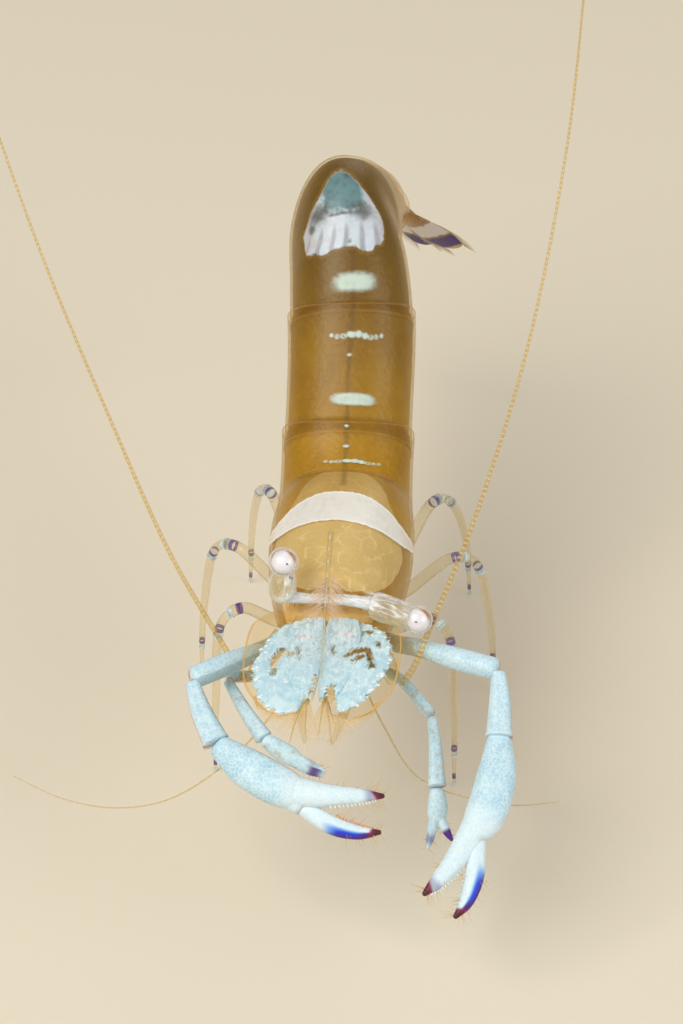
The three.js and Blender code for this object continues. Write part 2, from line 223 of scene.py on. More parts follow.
def fluted(angle, size, u):
    """A section with a shallow groove along its upper side and a rim at its far end."""
    x, z = boxy(2.3)(angle, size, u)
    groove = 0.14 * peak(wrapped(angle), 0, 0.26) * size[..., 1]
    groove = groove * smooth_step(u, 0.1, 0.3) * (1 - smooth_step(u, 0.85, 0.93))
    lip = 1 + 0.05 * smooth_step(u, 0.93, 0.97) - 0.05 * (1 - smooth_step(u, 0.0, 0.06))
    return x * lip, (z - groove) * lip


def placed(line, u, angle, section):
    """Points on a sweep at each u and angle."""
    at, _, across, above, size = line.frame(u)
    x, z = section(angle, size, u)
    return at + across * x[..., None] + above * z[..., None]


# ---- meshes ----
def grid_faces(rows, columns, closed_rows=False):
    """Faces of a grid of points that is closed round its columns."""
    i = np.arange(rows if closed_rows else rows - 1)[:, None]
    j = np.arange(columns)[None, :]
    below, beside = (i + 1) % rows, (j + 1) % columns
    corners = (i * columns + j, below * columns + j, below * columns + beside, i * columns + beside)
    return np.stack(np.broadcast_arrays(*corners), -1).reshape(-1, 4)


def cap_faces(rows, columns):
    """Triangles that join the first and last ring of a grid to the two points that follow it."""
    j = np.arange(columns)
    beside = (j + 1) % columns
    first, last = rows * columns, rows * columns + 1
    tail = (rows - 1) * columns
    start = np.stack([np.full(columns, first), j, beside], 1)
    stop = np.stack([np.full(columns, last), tail + beside, tail + j], 1)
    return np.vstack([start, stop])


CAP = np.linspace(0.16, math.pi / 2, 7)[:-1]  # the angles of the rings on a rounded end


class Shape:
    """Bodies that make up one piece, each with its points, faces and looks. Looks are values at its
    points that the material reads, or one number for all of them."""

    def __init__(self):
        self.bodies = []

    def add(self, points, faces, looks=None):
        self.bodies.append((np.asarray(points).reshape(-1, 3), faces, looks or {}))
        return self

    def tube(self, line, around, step=0.06, start=0.0, stop=1.0, caps=(0.1, 0.1), section=oval, looks=None):
        """Adds a closed body swept along a line, with rounded ends. Its looks can be a function of
        the places on it."""
        fine, gone = line.lengths(start, stop)
        total = gone[-1]
        lead = 1 - np.cos(CAP)
        middle = np.linspace(caps[0], total - caps[1], max(2, round((total - sum(caps)) / step)))
        reach = np.concatenate([caps[0] * lead, middle, (total - caps[1] * lead)[::-1]])
        drawn = np.concatenate([np.sin(CAP), np.ones(len(middle)), np.sin(CAP)[::-1]])[:, None]
        u = np.interp(reach, gone, fine)
        angle = np.linspace(0, 2 * math.pi, around, endpoint=False)
        at, _, across, above, size = (f[:, None] for f in line.frame(u))
        x, z = section(angle[None, :], size, u[:, None])
        points = at + across * (x * drawn)[..., None] + above * (z * drawn)[..., None]
        places = SimpleNamespace(
            points=np.vstack([points.reshape(-1, 3), line.frame([start, stop])[0]]),
            u=np.append(np.repeat(u, around), [start, stop]),
            angle=np.append(np.tile(angle, len(u)), [0, 0]),
            gone=np.append(np.repeat(reach, around), [0, total]),
            total=total,
        )
        faces = [grid_faces(len(u), around), cap_faces(len(u), around)]
        return self.add(places.points, faces, looks(places) if callable(looks) else looks)

    def thorn(self, base, way, length, radius, looks=None):
        """Adds a small tapered tooth or spine."""
        base = np.array(base, float)
        line = straight(base, base + np.array(way) * length, radius, radius * 0.25)
        return self.tube(line, 8, length / 5, caps=(radius * 0.3, radius * 0.25), looks=looks)

    def merged(self):
        """All the bodies as one: points, faces, and looks that are 0 where a body has none."""
        names = sorted({name for _, _, looks in self.bodies for name in looks})
        values = {name: [] for name in names}
        faces, start = [], 0
        for points, parts, looks in self.bodies:
            for part in parts:
                faces += (part + start).tolist()
            for name in names:
                values[name].append(np.broadcast_to(looks.get(name, 0.0), len(points)))
            start += len(points)
        points = np.vstack([points for points, _, _ in self.bodies])
        return points, faces, {name: np.concatenate(v) for name, v in values.items()}


def object_of(name, points, faces):
    mesh = bpy.data.meshes.new(name)
    mesh.from_pydata(points.tolist(), [], faces)
    mesh.polygons.foreach_set("use_smooth", np.ones(len(mesh.polygons), bool))
    made = bpy.data.objects.new(name, mesh)
    bpy.context.scene.collection.objects.link(made)
    return made


def corner_points(mesh):
    """The vertex at each corner of a mesh's faces."""
    found = np.zeros(len(mesh.loops), np.int32)
    mesh.loops.foreach_get("vertex_index", found)
    return found


def melted(shape, easing=6, voxel=0.018):
    """One even skin over bodies that run into each other, as points and faces."""
    points, faces, _ = shape.merged()
    holder = object_of("melting", points, faces)
    skin = holder.modifiers.new("skin", "REMESH")
    skin.mode = "VOXEL"
    skin.voxel_size = voxel
    ease = holder.modifiers.new("ease", "SMOOTH")
    ease.factor = 0.5
    ease.iterations = easing
    made = holder.evaluated_get(bpy.context.evaluated_depsgraph_get())
    mesh = made.to_mesh()
    found = np.zeros(len(mesh.vertices) * 3)
    mesh.vertices.foreach_get("co", found)
    corners = corner_points(mesh)
    made.to_mesh_clear()
    old = holder.data
    bpy.data.objects.remove(holder)
    bpy.data.meshes.remove(old)
    return found.reshape(-1, 3), [corners.reshape(-1, 4)]


def piece(shape, name, kind, stands_for=None, slot=None):
    """Makes a piece of a shape, riding on the root body, in one of the MATERIALS."""
    points, faces, values = shape.merged()
    made = object_of(name, points * MM + ORIGIN, faces)
    for key, numbers in values.items():
        layer = made.data.attributes.new(key, "FLOAT", "POINT")
        layer.data.foreach_set("value", numbers.astype(np.float32))
    material, usual_slot = MATERIALS[kind]
    made.data.materials.append(material)
    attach(made, "root")
    slot or usual_slot
    if stands_for:
        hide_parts(stands_for)
    return made


HAIR_RINGS, HAIR_SIDES = 5, 3
HAIR_PATCH, HAIR_CELL = 0.003, 0.004  # of the UV square


def hair_map(made, count):
    """A UV map in which each hair has a small patch of its own."""
    per_row = int(1 / HAIR_CELL)
    k = np.arange(count)
    corner = np.stack([k % per_row, k // per_row], 1) * HAIR_CELL
    across = np.tile(np.arange(HAIR_SIDES) / HAIR_SIDES, HAIR_RINGS)
    along = np.repeat(np.arange(HAIR_RINGS) / (HAIR_RINGS - 1), HAIR_SIDES)
    patch = np.stack([across, along], 1) * HAIR_PATCH
    spots = (corner[:, None] + patch[None]).reshape(-1, 2)
    layer = made.data.uv_layers.new(name="OFBake")
    layer.data.foreach_set("uv", spots[corner_points(made.data)].astype(np.float32).ravel())


def hairs(name, roots, ways, lengths, radius, bend, kind, slot=None):
    """A coat of tapered hairs, each a solid of its own, that curve towards bend."""
    ways = unit(ways)[:, None]
    count = len(roots)
    t = np.linspace(0, 1, HAIR_RINGS)[None, :, None]
    centre = roots[:, None] + lengths[:, None, None] * (ways * t + np.array(bend) * t**2)
    along = unit(ways + 2 * np.array(bend) * t)
    side = unit(np.cross(along, along[..., [1, 2, 0]] + (0.31, -0.17, 0.23)))
    other = np.cross(along, side)
    angle = (np.arange(HAIR_SIDES) * 2 * math.pi / HAIR_SIDES)[None, None, :, None]
    spread = side[:, :, None] * np.cos(angle) + other[:, :, None] * np.sin(angle)
    points = centre[:, :, None] + spread * (radius * (1 - 0.85 * t)[..., None])
    offset = (np.arange(count) * HAIR_RINGS * HAIR_SIDES)[:, None, None]
    quads = (grid_faces(HAIR_RINGS, HAIR_SIDES)[None] + offset).reshape(-1, 4)[:, ::-1]
    last = (HAIR_RINGS - 1) * HAIR_SIDES
    ends = (np.array([[0, 1, 2], [last + 2, last + 1, last]])[None] + offset).reshape(-1, 3)[:, ::-1]
    shade = np.repeat(RANDOM.uniform(0, 1, count), HAIR_RINGS * HAIR_SIDES)
    hair_map(piece(Shape().add(points, [quads, ends], {"shade": shade}), name, kind, slot=slot), count)


def coat(name, parts, radius, slot=None):
    """One coat of pale hairs from the roots, directions and lengths of several parts."""
    roots, ways, lengths = (np.concatenate(x) for x in zip(*parts))
    hairs(name, roots, ways, lengths, radius, (0, 0, -0.05), "pale_hair", slot)


def edge_hairs(line, count, start, stop, length, lean):
    """Roots, directions and lengths of hairs along both edges of a leaf."""
    u = np.tile(np.linspace(start, stop, count), 2)
    way = np.repeat([1, -1], count)
    at, along, across, _, size = line.frame(u)
    roots = at + across * (way * size[:, 0] * 0.96)[:, None]
    ways = along + across * (way * np.interp(u, (start, stop), (lean, 0.15)))[:, None]
    return roots, ways, length * RANDOM.uniform(0.85, 1.1, len(u))


# ---- node materials ----
def rgb(red, green, blue):
    """A colour given as on a screen, from 0 to 255."""
    linear = [((c / 255 + 0.055) / 1.055) ** 2.4 if c > 10 else c / 255 / 12.92 for c in (red, green, blue)]
    return (*linear, 1.0)


CLEAR = (1, 1, 1, 1)


class Paint:
    """A node material. Each method adds nodes and gives back the last one's output."""

    def __init__(self, name):
        self.material = bpy.data.materials.new(name)
        self.material.use_nodes = True
        self.tree = self.material.node_tree
        self.tree.nodes.clear()
        place = self.node("TexCoord", [], "Object")
        self.place = self.node("VectorMath", {0: place, 3: 1 / MM}, operation="SCALE")  # millimetres

    def node(self, kind, inputs, output=0, **settings):
        made = self.tree.nodes.new("ShaderNode" + kind)
        for key, value in settings.items():
            setattr(made, key, value)
        for key, value in inputs.items() if isinstance(inputs, dict) else enumerate(inputs):
            if isinstance(value, bpy.types.NodeSocket):
                self.tree.links.new(value, made.inputs[key])
            else:
                made.inputs[key].default_value = value
        return made.outputs[output] if made.outputs else made

    def value(self, name):
        return self.node("Attribute", [], "Fac", attribute_name=name)

    def math(self, operation, *terms):
        return self.node("Math", terms, operation=operation)

    def add(self, a, b):
        return self.math("ADD", a, b)

    def times(self, a, b):
        return self.math("MULTIPLY", a, b)

    def most(self, a, b):
        return self.math("MAXIMUM", a, b)

    def step(self, value, low, high, to=(0.0, 1.0)):
        return self.node("MapRange", [value, low, high, *to], interpolation_type="SMOOTHSTEP")

    def area(self, name, low, high, share=1.0):
        """0 where the named value is low or less, and share where it is high or more."""
        return self.step(self.value(name), low, high, (0.0, share))

    def ragged(self, name, noise, reach):
        """The named value, moved up and down by noise."""
        return self.add(self.value(name), self.times(self.add(noise, -0.5), reach))

    def noise(self, scale, detail=2.0, stretch=(1.0, 1.0, 1.0), distortion=0.0):
        place = self.node("VectorMath", [self.place, stretch], operation="MULTIPLY")
        inputs = {"Vector": place, "Scale": scale, "Detail": detail, "Distortion": distortion}
        return self.node("TexNoise", inputs, "Fac")

    def cells(self, scale, feature="DISTANCE_TO_EDGE", wobble=0.0):
        bent = self.node("TexNoise", {"Vector": self.place, "Scale": scale * 1.3}, "Color")
        moved = self.node("VectorMath", {0: bent, 3: wobble / scale}, operation="SCALE")
        place = self.node("VectorMath", [self.place, moved], operation="ADD")
        return self.node("TexVoronoi", {"Vector": place, "Scale": scale}, "Distance", feature=feature)

    def mix(self, share, a, b):
        return self.node("Mix", {0: share, 6: a, 7: b}, 2, data_type="RGBA")

    def layers(self, base, *coats):
        """A base colour with coats over it, each (share, colour)."""
        for share, colour in coats:
            base = self.mix(share, base, colour)
        return base

    def bump(self, height, depth, under=None):
        """A bump depth millimetres high, over the one under it."""
        inputs = {"Height": height, "Distance": depth * MM, "Strength": 1.0}
        return self.node("Bump", {**inputs, "Normal": under} if under else inputs)

    def paint(self, colour, roughness, normal=None, coat=0.0, sheen=0.03, glow=0.0, reach=(1, 1, 1)):
        """A solid surface under a coat whose roughness is sheen. A share glow of the light spreads under
        it, reach millimetres for each of red, green and blue."""
        inputs = {
            "Base Color": colour, "Roughness": roughness, "Coat Weight": coat, "Coat Roughness": sheen,
            "Subsurface Weight": glow, "Subsurface Radius": [r * MM for r in reach],
        }
        return self.node("BsdfPrincipled", {**inputs, "Normal": normal} if normal else inputs)

    def blend(self, share, a, b):
        return self.node("MixShader", [share, a, b])

    def through(self, tint=CLEAR):
        return self.node("BsdfTransparent", {"Color": tint})

    def clear(self, tint, shine, ior, normal=None):
        """A thin clear wall: what is behind it shows in its tint, under a gloss."""
        bent = {"Normal": normal} if normal else {}
        gloss = self.node("BsdfGlossy", {"Color": CLEAR, "Roughness": shine, **bent})
        share = self.math("MINIMUM", self.node("Fresnel", {"IOR": ior, **bent}), 0.3)
        return self.blend(share, self.through(tint), gloss)

    def edge_on(self, low, high, least, most, blend=0.4):
        """A share that grows from least to most as the surface turns edge-on."""
        return self.step(self.node("LayerWeight", {"Blend": blend}, "Facing"), low, high, (least, most))

    def done(self, shader, opaque=1.0):
        """Ends the material. Light reaches what is under the surface, except where it is opaque."""
        if opaque != 1.0:
            light = self.node("LightPath", [], "Is Shadow Ray")
            share = self.times(light, self.math("SUBTRACT", 1.0, opaque))
            shader = self.blend(share, shader, self.through())
        self.node("OutputMaterial", {"Surface": shader})
        return self.material


def shell_material():
    """The clear plates of the back, with the white marks that the values mark and cap lay out."""
    p = Paint("shell_plates")
    fine = p.noise(9.0, 3.0)
    speck = p.noise(5.0, 4.0)
    rearward = p.area("behind", 0.0, 1.0)
    edge = p.ragged("mark", fine, p.step(rearward, 0.0, 1.0, (0.1, 0.02)))
    cap_edge = p.ragged("cap", fine, 0.08)
    cap = p.step(cap_edge, -0.02, 0.03)
    faint = p.step(speck, 0.35, 0.75, (0.0, 0.6))
    band = p.layers(
        rgb(232, 230, 222),
        (faint, rgb(217, 213, 202)),
        (p.step(p.noise(3.0, 5.0, (1.0, 0.5, 1.0), 1.5), 0.4, 0.6, (0.0, 0.5)), rgb(238, 234, 226)),
        (p.area("side", 0.55, 0.95, 0.5), rgb(222, 190, 178)),
        (p.step(edge, 0.02, 0.09, (0.9, 0.0)), rgb(248, 246, 241)),
        (rearward, p.mix(faint, rgb(198, 212, 200), rgb(174, 194, 180))),
    )
    hump = p.layers(
        rgb(200, 212, 222),
        (p.area("cap_lobe", 0.15, 0.95, 0.75), rgb(134, 138, 150)),
        (p.step(speck, 0.4, 0.7, (0.0, 0.5)), rgb(190, 182, 184)),
        (p.value("cap_flank"), rgb(178, 160, 158)),
        (p.step(p.ragged("cap_teal", fine, 0.8), 0.15, 0.85), rgb(102, 138, 140)),
        (p.times(p.value("cap_teal"), faint), rgb(70, 98, 104)),
        (p.step(p.ragged("cap_dark", fine, 0.6), 0.1, 1.0, (0.0, 0.85)), rgb(70, 68, 56)),
    )
    grain = p.bump(p.noise(26.0, 3.0), 0.006)
    paint = p.paint(p.mix(cap, band, hump), 0.5, grain, 0.2, 0.25, 0.2, (0.3, 0.3, 0.3))
    haze = p.paint(p.mix(p.noise(2.0, 3.0), rgb(170, 128, 60), rgb(196, 156, 86)), 0.45, grain)
    rim = p.step(p.value("rim"), 0.0, 0.07, (0.3, 0.0))
    halo = p.step(cap_edge, -0.09, -0.02, (0.0, 0.25))
    thickness = p.most(p.add(p.edge_on(0.15, 1.0, 0.02, 0.3, 0.35), rim), halo)
    wall = p.blend(thickness, p.clear(rgb(252, 244, 222), 0.22, 1.15, grain), haze)
    opaque = p.most(p.step(edge, -0.02, 0.02), cap)
    whole = p.blend(p.value("outside"), p.through(), p.blend(opaque, wall, paint))
    return p.done(whole, p.times(opaque, 0.6))


def flesh_material():
    """The soft body that shows through the shell, with the ovary, the gut and the muscle bands."""
    p = Paint("flesh")
    cloud = p.noise(1.1, 4.0, (1.0, 0.6, 1.0))
    fine = p.noise(7.0, 4.0)
    bulge = p.ragged("ovary", p.noise(2.2, 2.0), 0.3)
    outline = p.step(p.cells(2.0, wobble=0.5), 0.0, 0.09, (0.5, 0.0))
    egg = p.layers(
        rgb(210, 187, 134),
        (p.step(cloud, 0.35, 0.65, (0.0, 0.6)), rgb(222, 202, 152)),
        (p.times(outline, p.step(p.noise(2.6, 2.0), 0.4, 0.6)), rgb(240, 226, 192)),
        (p.step(bulge, 0.02, 0.12, (0.4, 0.0)), rgb(238, 218, 176)),
    )
    deep = p.step(p.value("deep"), 0.0, 1.0, (1.0, 0.55))
    colour = p.layers(
        rgb(164, 123, 14),
        (p.step(cloud, 0.3, 0.7), rgb(182, 142, 20)),
        (p.step(fine, 0.45, 0.75, (0.0, 0.45)), rgb(190, 152, 38)),
        (p.area("hump", 0.0, 1.0, 0.9), rgb(86, 64, 16)),
        (p.area("joint", 0.0, 1.0, 0.4), rgb(96, 68, 18)),
        (p.times(p.step(bulge, -0.04, 0.05), deep), egg),
        (p.step(p.value("gut"), 0.0, 0.05, (0.4, 0.0)), rgb(84, 58, 18)),
        # paler amber at the front of the body and on the brow: partly the body's own tint, partly painted
        # light that lifts the brow out of the shade under the eyes and eye bar
        (p.step(p.ragged("rosy", fine, 0.8), 0.1, 0.9, (0.0, 0.85)), rgb(226, 184, 112)),
    )
    return p.done(p.paint(colour, 0.5, p.bump(fine, 0.03), 0.1, 0.3, 0.5, (0.9, 0.55, 0.25)))


AMBER_LIMB = (rgb(222, 200, 150), rgb(238, 222, 184))


def clear_limb_material(name, least, most, ior, tints=AMBER_LIMB):
    """Walking legs, swimming legs and the small limbs: clear, with narrow white and violet bands."""
    p = Paint(name)
    cloud = p.noise(6.0, 3.0)
    white, violet = (p.step(p.ragged(band, cloud, 0.3), 0.4, 0.6) for band in ("white", "violet"))
    colour = p.layers(p.mix(cloud, *tints), (white, rgb(205, 228, 236)), (violet, rgb(78, 34, 140)))
    normal = p.bump(p.noise(30.0, 2.0), 0.004)
    bands = p.most(p.times(white, 0.7), p.times(violet, 0.8))
    share = p.most(p.edge_on(0.1, 1.0, least, most), bands)
    wall = p.clear(rgb(251, 247, 236), 0.15, ior, normal)
    return p.done(p.blend(share, wall, p.paint(colour, 0.3, normal, 0.3)), share)


BLUE_GLOW = (0.2, 0.3, 0.4)


def claw_material():
    """Pale blue limbs: a fine network, an orange line along the edges, and blue to crimson tips."""
    p = Paint("claws")
    net = p.cells(9.0, wobble=1.0)
    blue, crimson = p.value("blue"), p.value("crimson")
    colour = p.layers(
        rgb(168, 208, 226),
        (p.step(p.noise(3.0, 4.0), 0.3, 0.7, (0.0, 0.8)), rgb(194, 226, 238)),
        (p.step(net, 0.02, 0.16, (0.5, 0.0)), rgb(232, 245, 249)),
        (p.step(p.noise(24.0, 2.0), 0.6, 0.72, (0.0, 0.5)), rgb(150, 188, 208)),
        (p.area("whiter", 0.0, 1.0, 0.85), rgb(226, 240, 246)),
        (p.step(p.ragged("clearer", p.noise(5.0, 4.0), 1.4), 0.35, 0.75, (0.0, 0.75)), rgb(184, 168, 122)),
        (p.area("stripe", 0.2, 0.8, 0.55), rgb(150, 178, 190)),
        (p.area("hinge", 0.2, 0.9, 0.8), rgb(158, 168, 160)),
        (p.area("rim", 0.3, 0.8, 0.92), rgb(224, 122, 36)),
        (p.area("joint", 0.2, 0.9, 0.8), rgb(204, 84, 36)),
        (p.step(blue, 0.05, 0.5), rgb(112, 168, 236)),
        (p.step(blue, 0.35, 0.8), rgb(20, 54, 212)),
        (p.area("violet", 0.1, 0.9), rgb(76, 22, 128)),
        (p.step(crimson, 0.15, 0.6), rgb(128, 20, 62)),
        (p.step(crimson, 0.6, 1.0), rgb(74, 6, 30)),
    )
    normal = p.bump(p.noise(18.0, 3.0), 0.01, p.bump(net, 0.015))
    return p.done(p.paint(colour, 0.55, normal, 0.12, 0.3, 0.25, BLUE_GLOW))


def scale_material():
    """The antennal scales and antennules: clear and golden, under one ragged patch of pale blue."""
    p = Paint("scales")
    cloud = p.noise(3.0, 5.0, (1.0, 0.7, 1.0), 1.2)
    frost = p.noise(7.0, 5.0, (1.0, 0.5, 1.0), 1.6)
    wisps = p.noise(6.0, 6.0, (1.0, 0.45, 1.0), 2.2)
    knobs = p.cells(6.5, "F1")
    thin = p.value("thin")
    beaded = p.add(p.ragged("pigment", p.noise(9.0, 5.0), 0.3), p.times(p.add(knobs, -0.4), -0.12))
    covered = p.step(beaded, -0.02, 0.03)
    shut = p.step(p.ragged("window", wisps, 0.4), -0.03, 0.07)
    gauze = p.math("SUBTRACT", 1.0, p.times(thin, p.step(wisps, 0.42, 0.68, (0.0, 0.35))))
    pigment = p.times(covered, p.times(shut, gauze))
    colour = p.layers(
        rgb(176, 213, 226),
        (p.step(cloud, 0.35, 0.65), rgb(206, 234, 242)),
        (p.step(frost, 0.5, 0.7, (0.0, 0.65)), rgb(240, 248, 250)),
        (p.times(p.value("outer"), p.step(knobs, 0.15, 0.45, (1.0, 0.0))), rgb(248, 252, 254)),
        (p.times(thin, p.step(frost, 0.3, 0.6, (0.6, 0.3))), rgb(218, 229, 230)),
        (p.area("middle", 0.2, 1.0, 0.45), rgb(176, 196, 200)),
        (p.area("pink", 0.1, 0.9, 0.9), rgb(230, 230, 232)),
    )
    normal = p.bump(frost, 0.008, p.bump(cloud, 0.02))
    paint = p.paint(colour, 0.5, normal, 0.2, glow=0.2, reach=BLUE_GLOW)
    horn = p.paint(p.mix(cloud, rgb(204, 158, 76), rgb(226, 190, 112)), 0.35, normal)
    thickness = p.most(p.edge_on(0.1, 1.0, 0.0, 0.25), p.times(p.value("ridge"), 0.75))
    wall = p.blend(thickness, p.clear(rgb(254, 250, 240), 0.15, 1.08, normal), horn)
    return p.done(p.blend(pigment, wall, paint), pigment)


def stalk_material():
    """Eyestalks and the bar between them: clear bulbs with white streaks over them."""
    p = Paint("eyestalks")
    turn = p.value("turn")
    drawn_out = [p.times(p.value("gone"), 0.8), p.math("SINE", turn), p.math("COSINE", turn)]
    place = p.node("CombineXYZ", drawn_out)
    streaks = p.node("TexNoise", {"Vector": place, "Scale": 5.0, "Detail": 4.0}, "Fac")
    white = p.step(p.ragged("white", streaks, 1.2), 0.3, 0.9)
    colour = p.layers(
        rgb(214, 204, 172),
        (p.step(streaks, 0.35, 0.65, (0.0, 0.6)), rgb(222, 206, 162)),
        (white, rgb(240, 242, 244)),
        (p.area("dark", 0.3, 0.7), rgb(22, 26, 44)),
    )
    normal = p.bump(streaks, 0.03)
    paint = p.paint(colour, 0.35, normal, 0.5, 0.12, 0.35, (0.3, 0.3, 0.3))
    share = p.most(p.edge_on(0.05, 0.9, 0.35, 0.85), white)
    return p.done(p.blend(share, p.clear(rgb(246, 243, 230), 0.1, 1.2, normal), paint), white)


def pearl_material():
    """The inner globe of an eye."""
    p = Paint("eye_pearl")
    colour = p.layers(
        rgb(244, 240, 242),
        (p.step(p.noise(5.0, 4.0), 0.4, 0.7, (0.0, 0.5)), rgb(232, 222, 230)),
        (p.area("orange", 0.1, 0.8), rgb(210, 122, 46)),
        (p.area("black", 0.3, 0.7), rgb(14, 12, 16)),
    )
    facets = p.bump(p.cells(34.0, "F1"), 0.006)
    return p.done(p.paint(colour, 0.28, facets, 0.5, glow=0.2, reach=(0.1, 0.1, 0.1)))


def cornea_material():
    """The clear outside of an eye."""
    p = Paint("eye_clear")
    milky = p.mix(p.noise(6.0, 2.0), rgb(226, 232, 236), rgb(244, 240, 242))
    milk = p.paint(milky, 0.2, p.bump(p.cells(40.0), 0.001))
    share = p.edge_on(0.3, 0.95, 0.02, 0.85, 0.5)
    return p.done(p.blend(share, p.clear(rgb(250, 251, 252), 0.05, 1.4), milk), 0.0)


def tail_material():
    """The tail fan: clear blades with white patches and violet bands towards the end."""
    p = Paint("tail_fan")
    noise = p.noise(5.0, 4.0)
    white, violet = (p.step(p.ragged(band, noise, 0.5), 0.35, 0.65) for band in ("white", "violet"))
    colour = p.layers(rgb(190, 150, 92), (white, rgb(226, 218, 220)), (violet, rgb(62, 20, 112)))
    normal = p.bump(p.noise(16.0, 3.0), 0.01)
    share = p.most(p.edge_on(0.1, 1.0, 0.3, 0.8), p.most(p.times(white, 0.9), violet))
    wall = p.clear(rgb(244, 230, 204), 0.15, 1.25, normal)
    return p.done(p.blend(share, wall, p.paint(colour, 0.5, normal, 0.1)), share)


def feeler_material():
    """The long feelers: clear and golden, with a pale ring at each joint."""
    p = Paint("feelers")
    ring = p.area("ring", 0.6, 0.9)
    golden = p.mix(p.noise(8.0, 2.0), rgb(194, 166, 108), rgb(212, 186, 132))
    colour = p.mix(ring, golden, rgb(238, 226, 192))
    paint = p.paint(colour, 0.35, p.bump(p.noise(30.0, 2.0), 0.004), 0.3)
    share = p.most(p.edge_on(0.0, 0.9, 0.08, 0.62), p.times(ring, 0.25))
    return p.done(p.blend(share, p.clear(rgb(248, 238, 212), 0.15, 1.2), paint), share)


def hair_material(name, dark, pale, solidity=0.5, shade=0.3):
    """Half-clear hairs. solidity is how much of one shows, and shade how dark its shadow is."""
    p = Paint(name)
    roughness = p.step(p.noise(9.0, 1.0), 0.2, 0.8, (0.3, 0.5))
    paint = p.paint(p.mix(p.value("shade"), dark, pale), roughness, coat=0.2)
    return p.done(p.blend(solidity, p.through(rgb(252, 244, 228)), paint), shade)


MATERIALS = {  # each with the name of a slot, which no piece is given
    "shell": (shell_material(), "body_shell"),
    "flesh": (flesh_material(), "body_shell"),
    "limb": (clear_limb_material("clear_limbs", 0.05, 0.32, 1.25), "clear_limb"),
    "claw": (claw_material(), "claw"),
    "scale": (scale_material(), "scale"),
    "stalk": (stalk_material(), "claw"),
    "pearl": (pearl_material(), "eye"),
    "cornea": (cornea_material(), "eye"),
    "tail": (tail_material(), "tail_fan"),
    "feeler": (feeler_material(), "feeler"),
    "faint": (clear_limb_material("faint_limbs", 0.0, 0.12, 1.06), "clear_limb"),
    "brow": (
        clear_limb_material("brow_blade", 0.03, 0.1, 1.03, (rgb(226, 224, 208), rgb(240, 238, 224))),
        "body_shell",
    ),
    "hair": (hair_material("golden_hairs", rgb(214, 160, 72), rgb(238, 206, 138)), "claw"),
    "pale_hair": (hair_material("pale_hairs", rgb(214, 200, 172), rgb(240, 234, 220)), "clear_limb"),
    "fringe": (hair_material("scale_fringe", rgb(232, 208, 156), rgb(250, 236, 204), 0.3, 0.0), "scale"),
    "rosy_hair": (hair_material("brow_hairs", rgb(214, 176, 136), rgb(250, 236, 222), 0.6), "body_shell"),
    "frost": (hair_material("white_fibres", rgb(226, 228, 232), rgb(250, 250, 252), 0.9), "claw"),
}

# ---- trunk: carapace and abdomen on one axis ----
TRUNK = Line([
    [(0, 0, 6.85), (0.85, 0.75, 1.2)],
    [(0, 0.35, 6.75), (1.15, 1.08, 1.7)],
    [(0.03, 1.1, 6.55), (1.47, 1.37, 2.05)],
    [(0.04, 2.4, 6.35), (1.75, 1.57, 2.15)],
    [(0.02, 3.9, 6.2), (1.83, 1.6, 2.05)],
    [(-0.03, 5.35, 6.15), (1.72, 1.5, 1.8)],
    [(-0.12, 7.35, 7.25), (1.64, 1.5, 1.95)],
    [(-0.2, 9.2, 8.8), (1.62, 1.6, 2.1)],
    [(-0.38, 10.5, 9.8), (1.54, 1.85, 1.95)],
    [(-0.58, 11.5, 10.25), (1.4, 2.25, 1.9)],
    [(-0.5, 12.3, 10.2), (1.3, 1.75, 1.8)],
    [(-0.42, 13.35, 9.8), (1.18, 1.35, 1.5)],
    [(-0.3, 14.4, 9.25), (1.05, 1.1, 1.25)],
    [(0, 16.1, 8.05), (0.78, 0.72, 0.8)],
])
STATIONS = 13
SEGMENT_STARTS = np.array([0, 5, 5.85, 7.25, 10, 11, 12]) / STATIONS
SEGMENT_ENDS = np.append(SEGMENT_STARTS[1:], 1.0)
JOINTS = SEGMENT_ENDS[:-1]
FLARES = np.array([0, 0.04, 0.04, 0.07, 0.04, 0.04, 0.04])  # how much wider each plate is at its rear
HUMP = 9 / STATIONS
SHELL_WALL, SHELL_STEP = 0.05, 0.045  # how thick a plate is, and from one row of its points to the next
EDGE_ROUND = 0.0012  # share of the axis by which a plate's edge bulges
TUCK = 0.012  # share of the axis by which a plate runs under the one in front
MM_PER_DEGREE = 0.028  # round the back


def trunk_outline(angle, size, u, flare, inset, lobe, belly):
    """The trunk's outline: arched above, more so at the hump, and flatter below."""
    c = np.cos(angle)
    width, rise, drop = (size[..., i] * flare - inset for i in range(3))
    top = rise * bow(c, 2.1 - 0.5 * peak(u, HUMP, 0.07))
    bottom = drop * lobe * bow(c, 2.6) * (1 - belly * c * c)
    return width * bow(np.sin(angle), 2.3), np.where(c > 0, top, bottom)


def plate_section(k, inset=0.0):
    """The outline of plate k, inset millimetres inside its surface: 0 is the carapace."""

    def section(angle, size, u):
        f = np.clip((u - SEGMENT_STARTS[k]) / (SEGMENT_ENDS[k] - SEGMENT_STARTS[k]), 0, 1)
        lobe = 0.78 + 0.22 * np.sin(math.pi * f) ** 0.7 if k else 1.0
        return trunk_outline(angle, size, u, 1 + FLARES[k] * f**2, inset, lobe, 0.35 if k else 0.15)

    return section


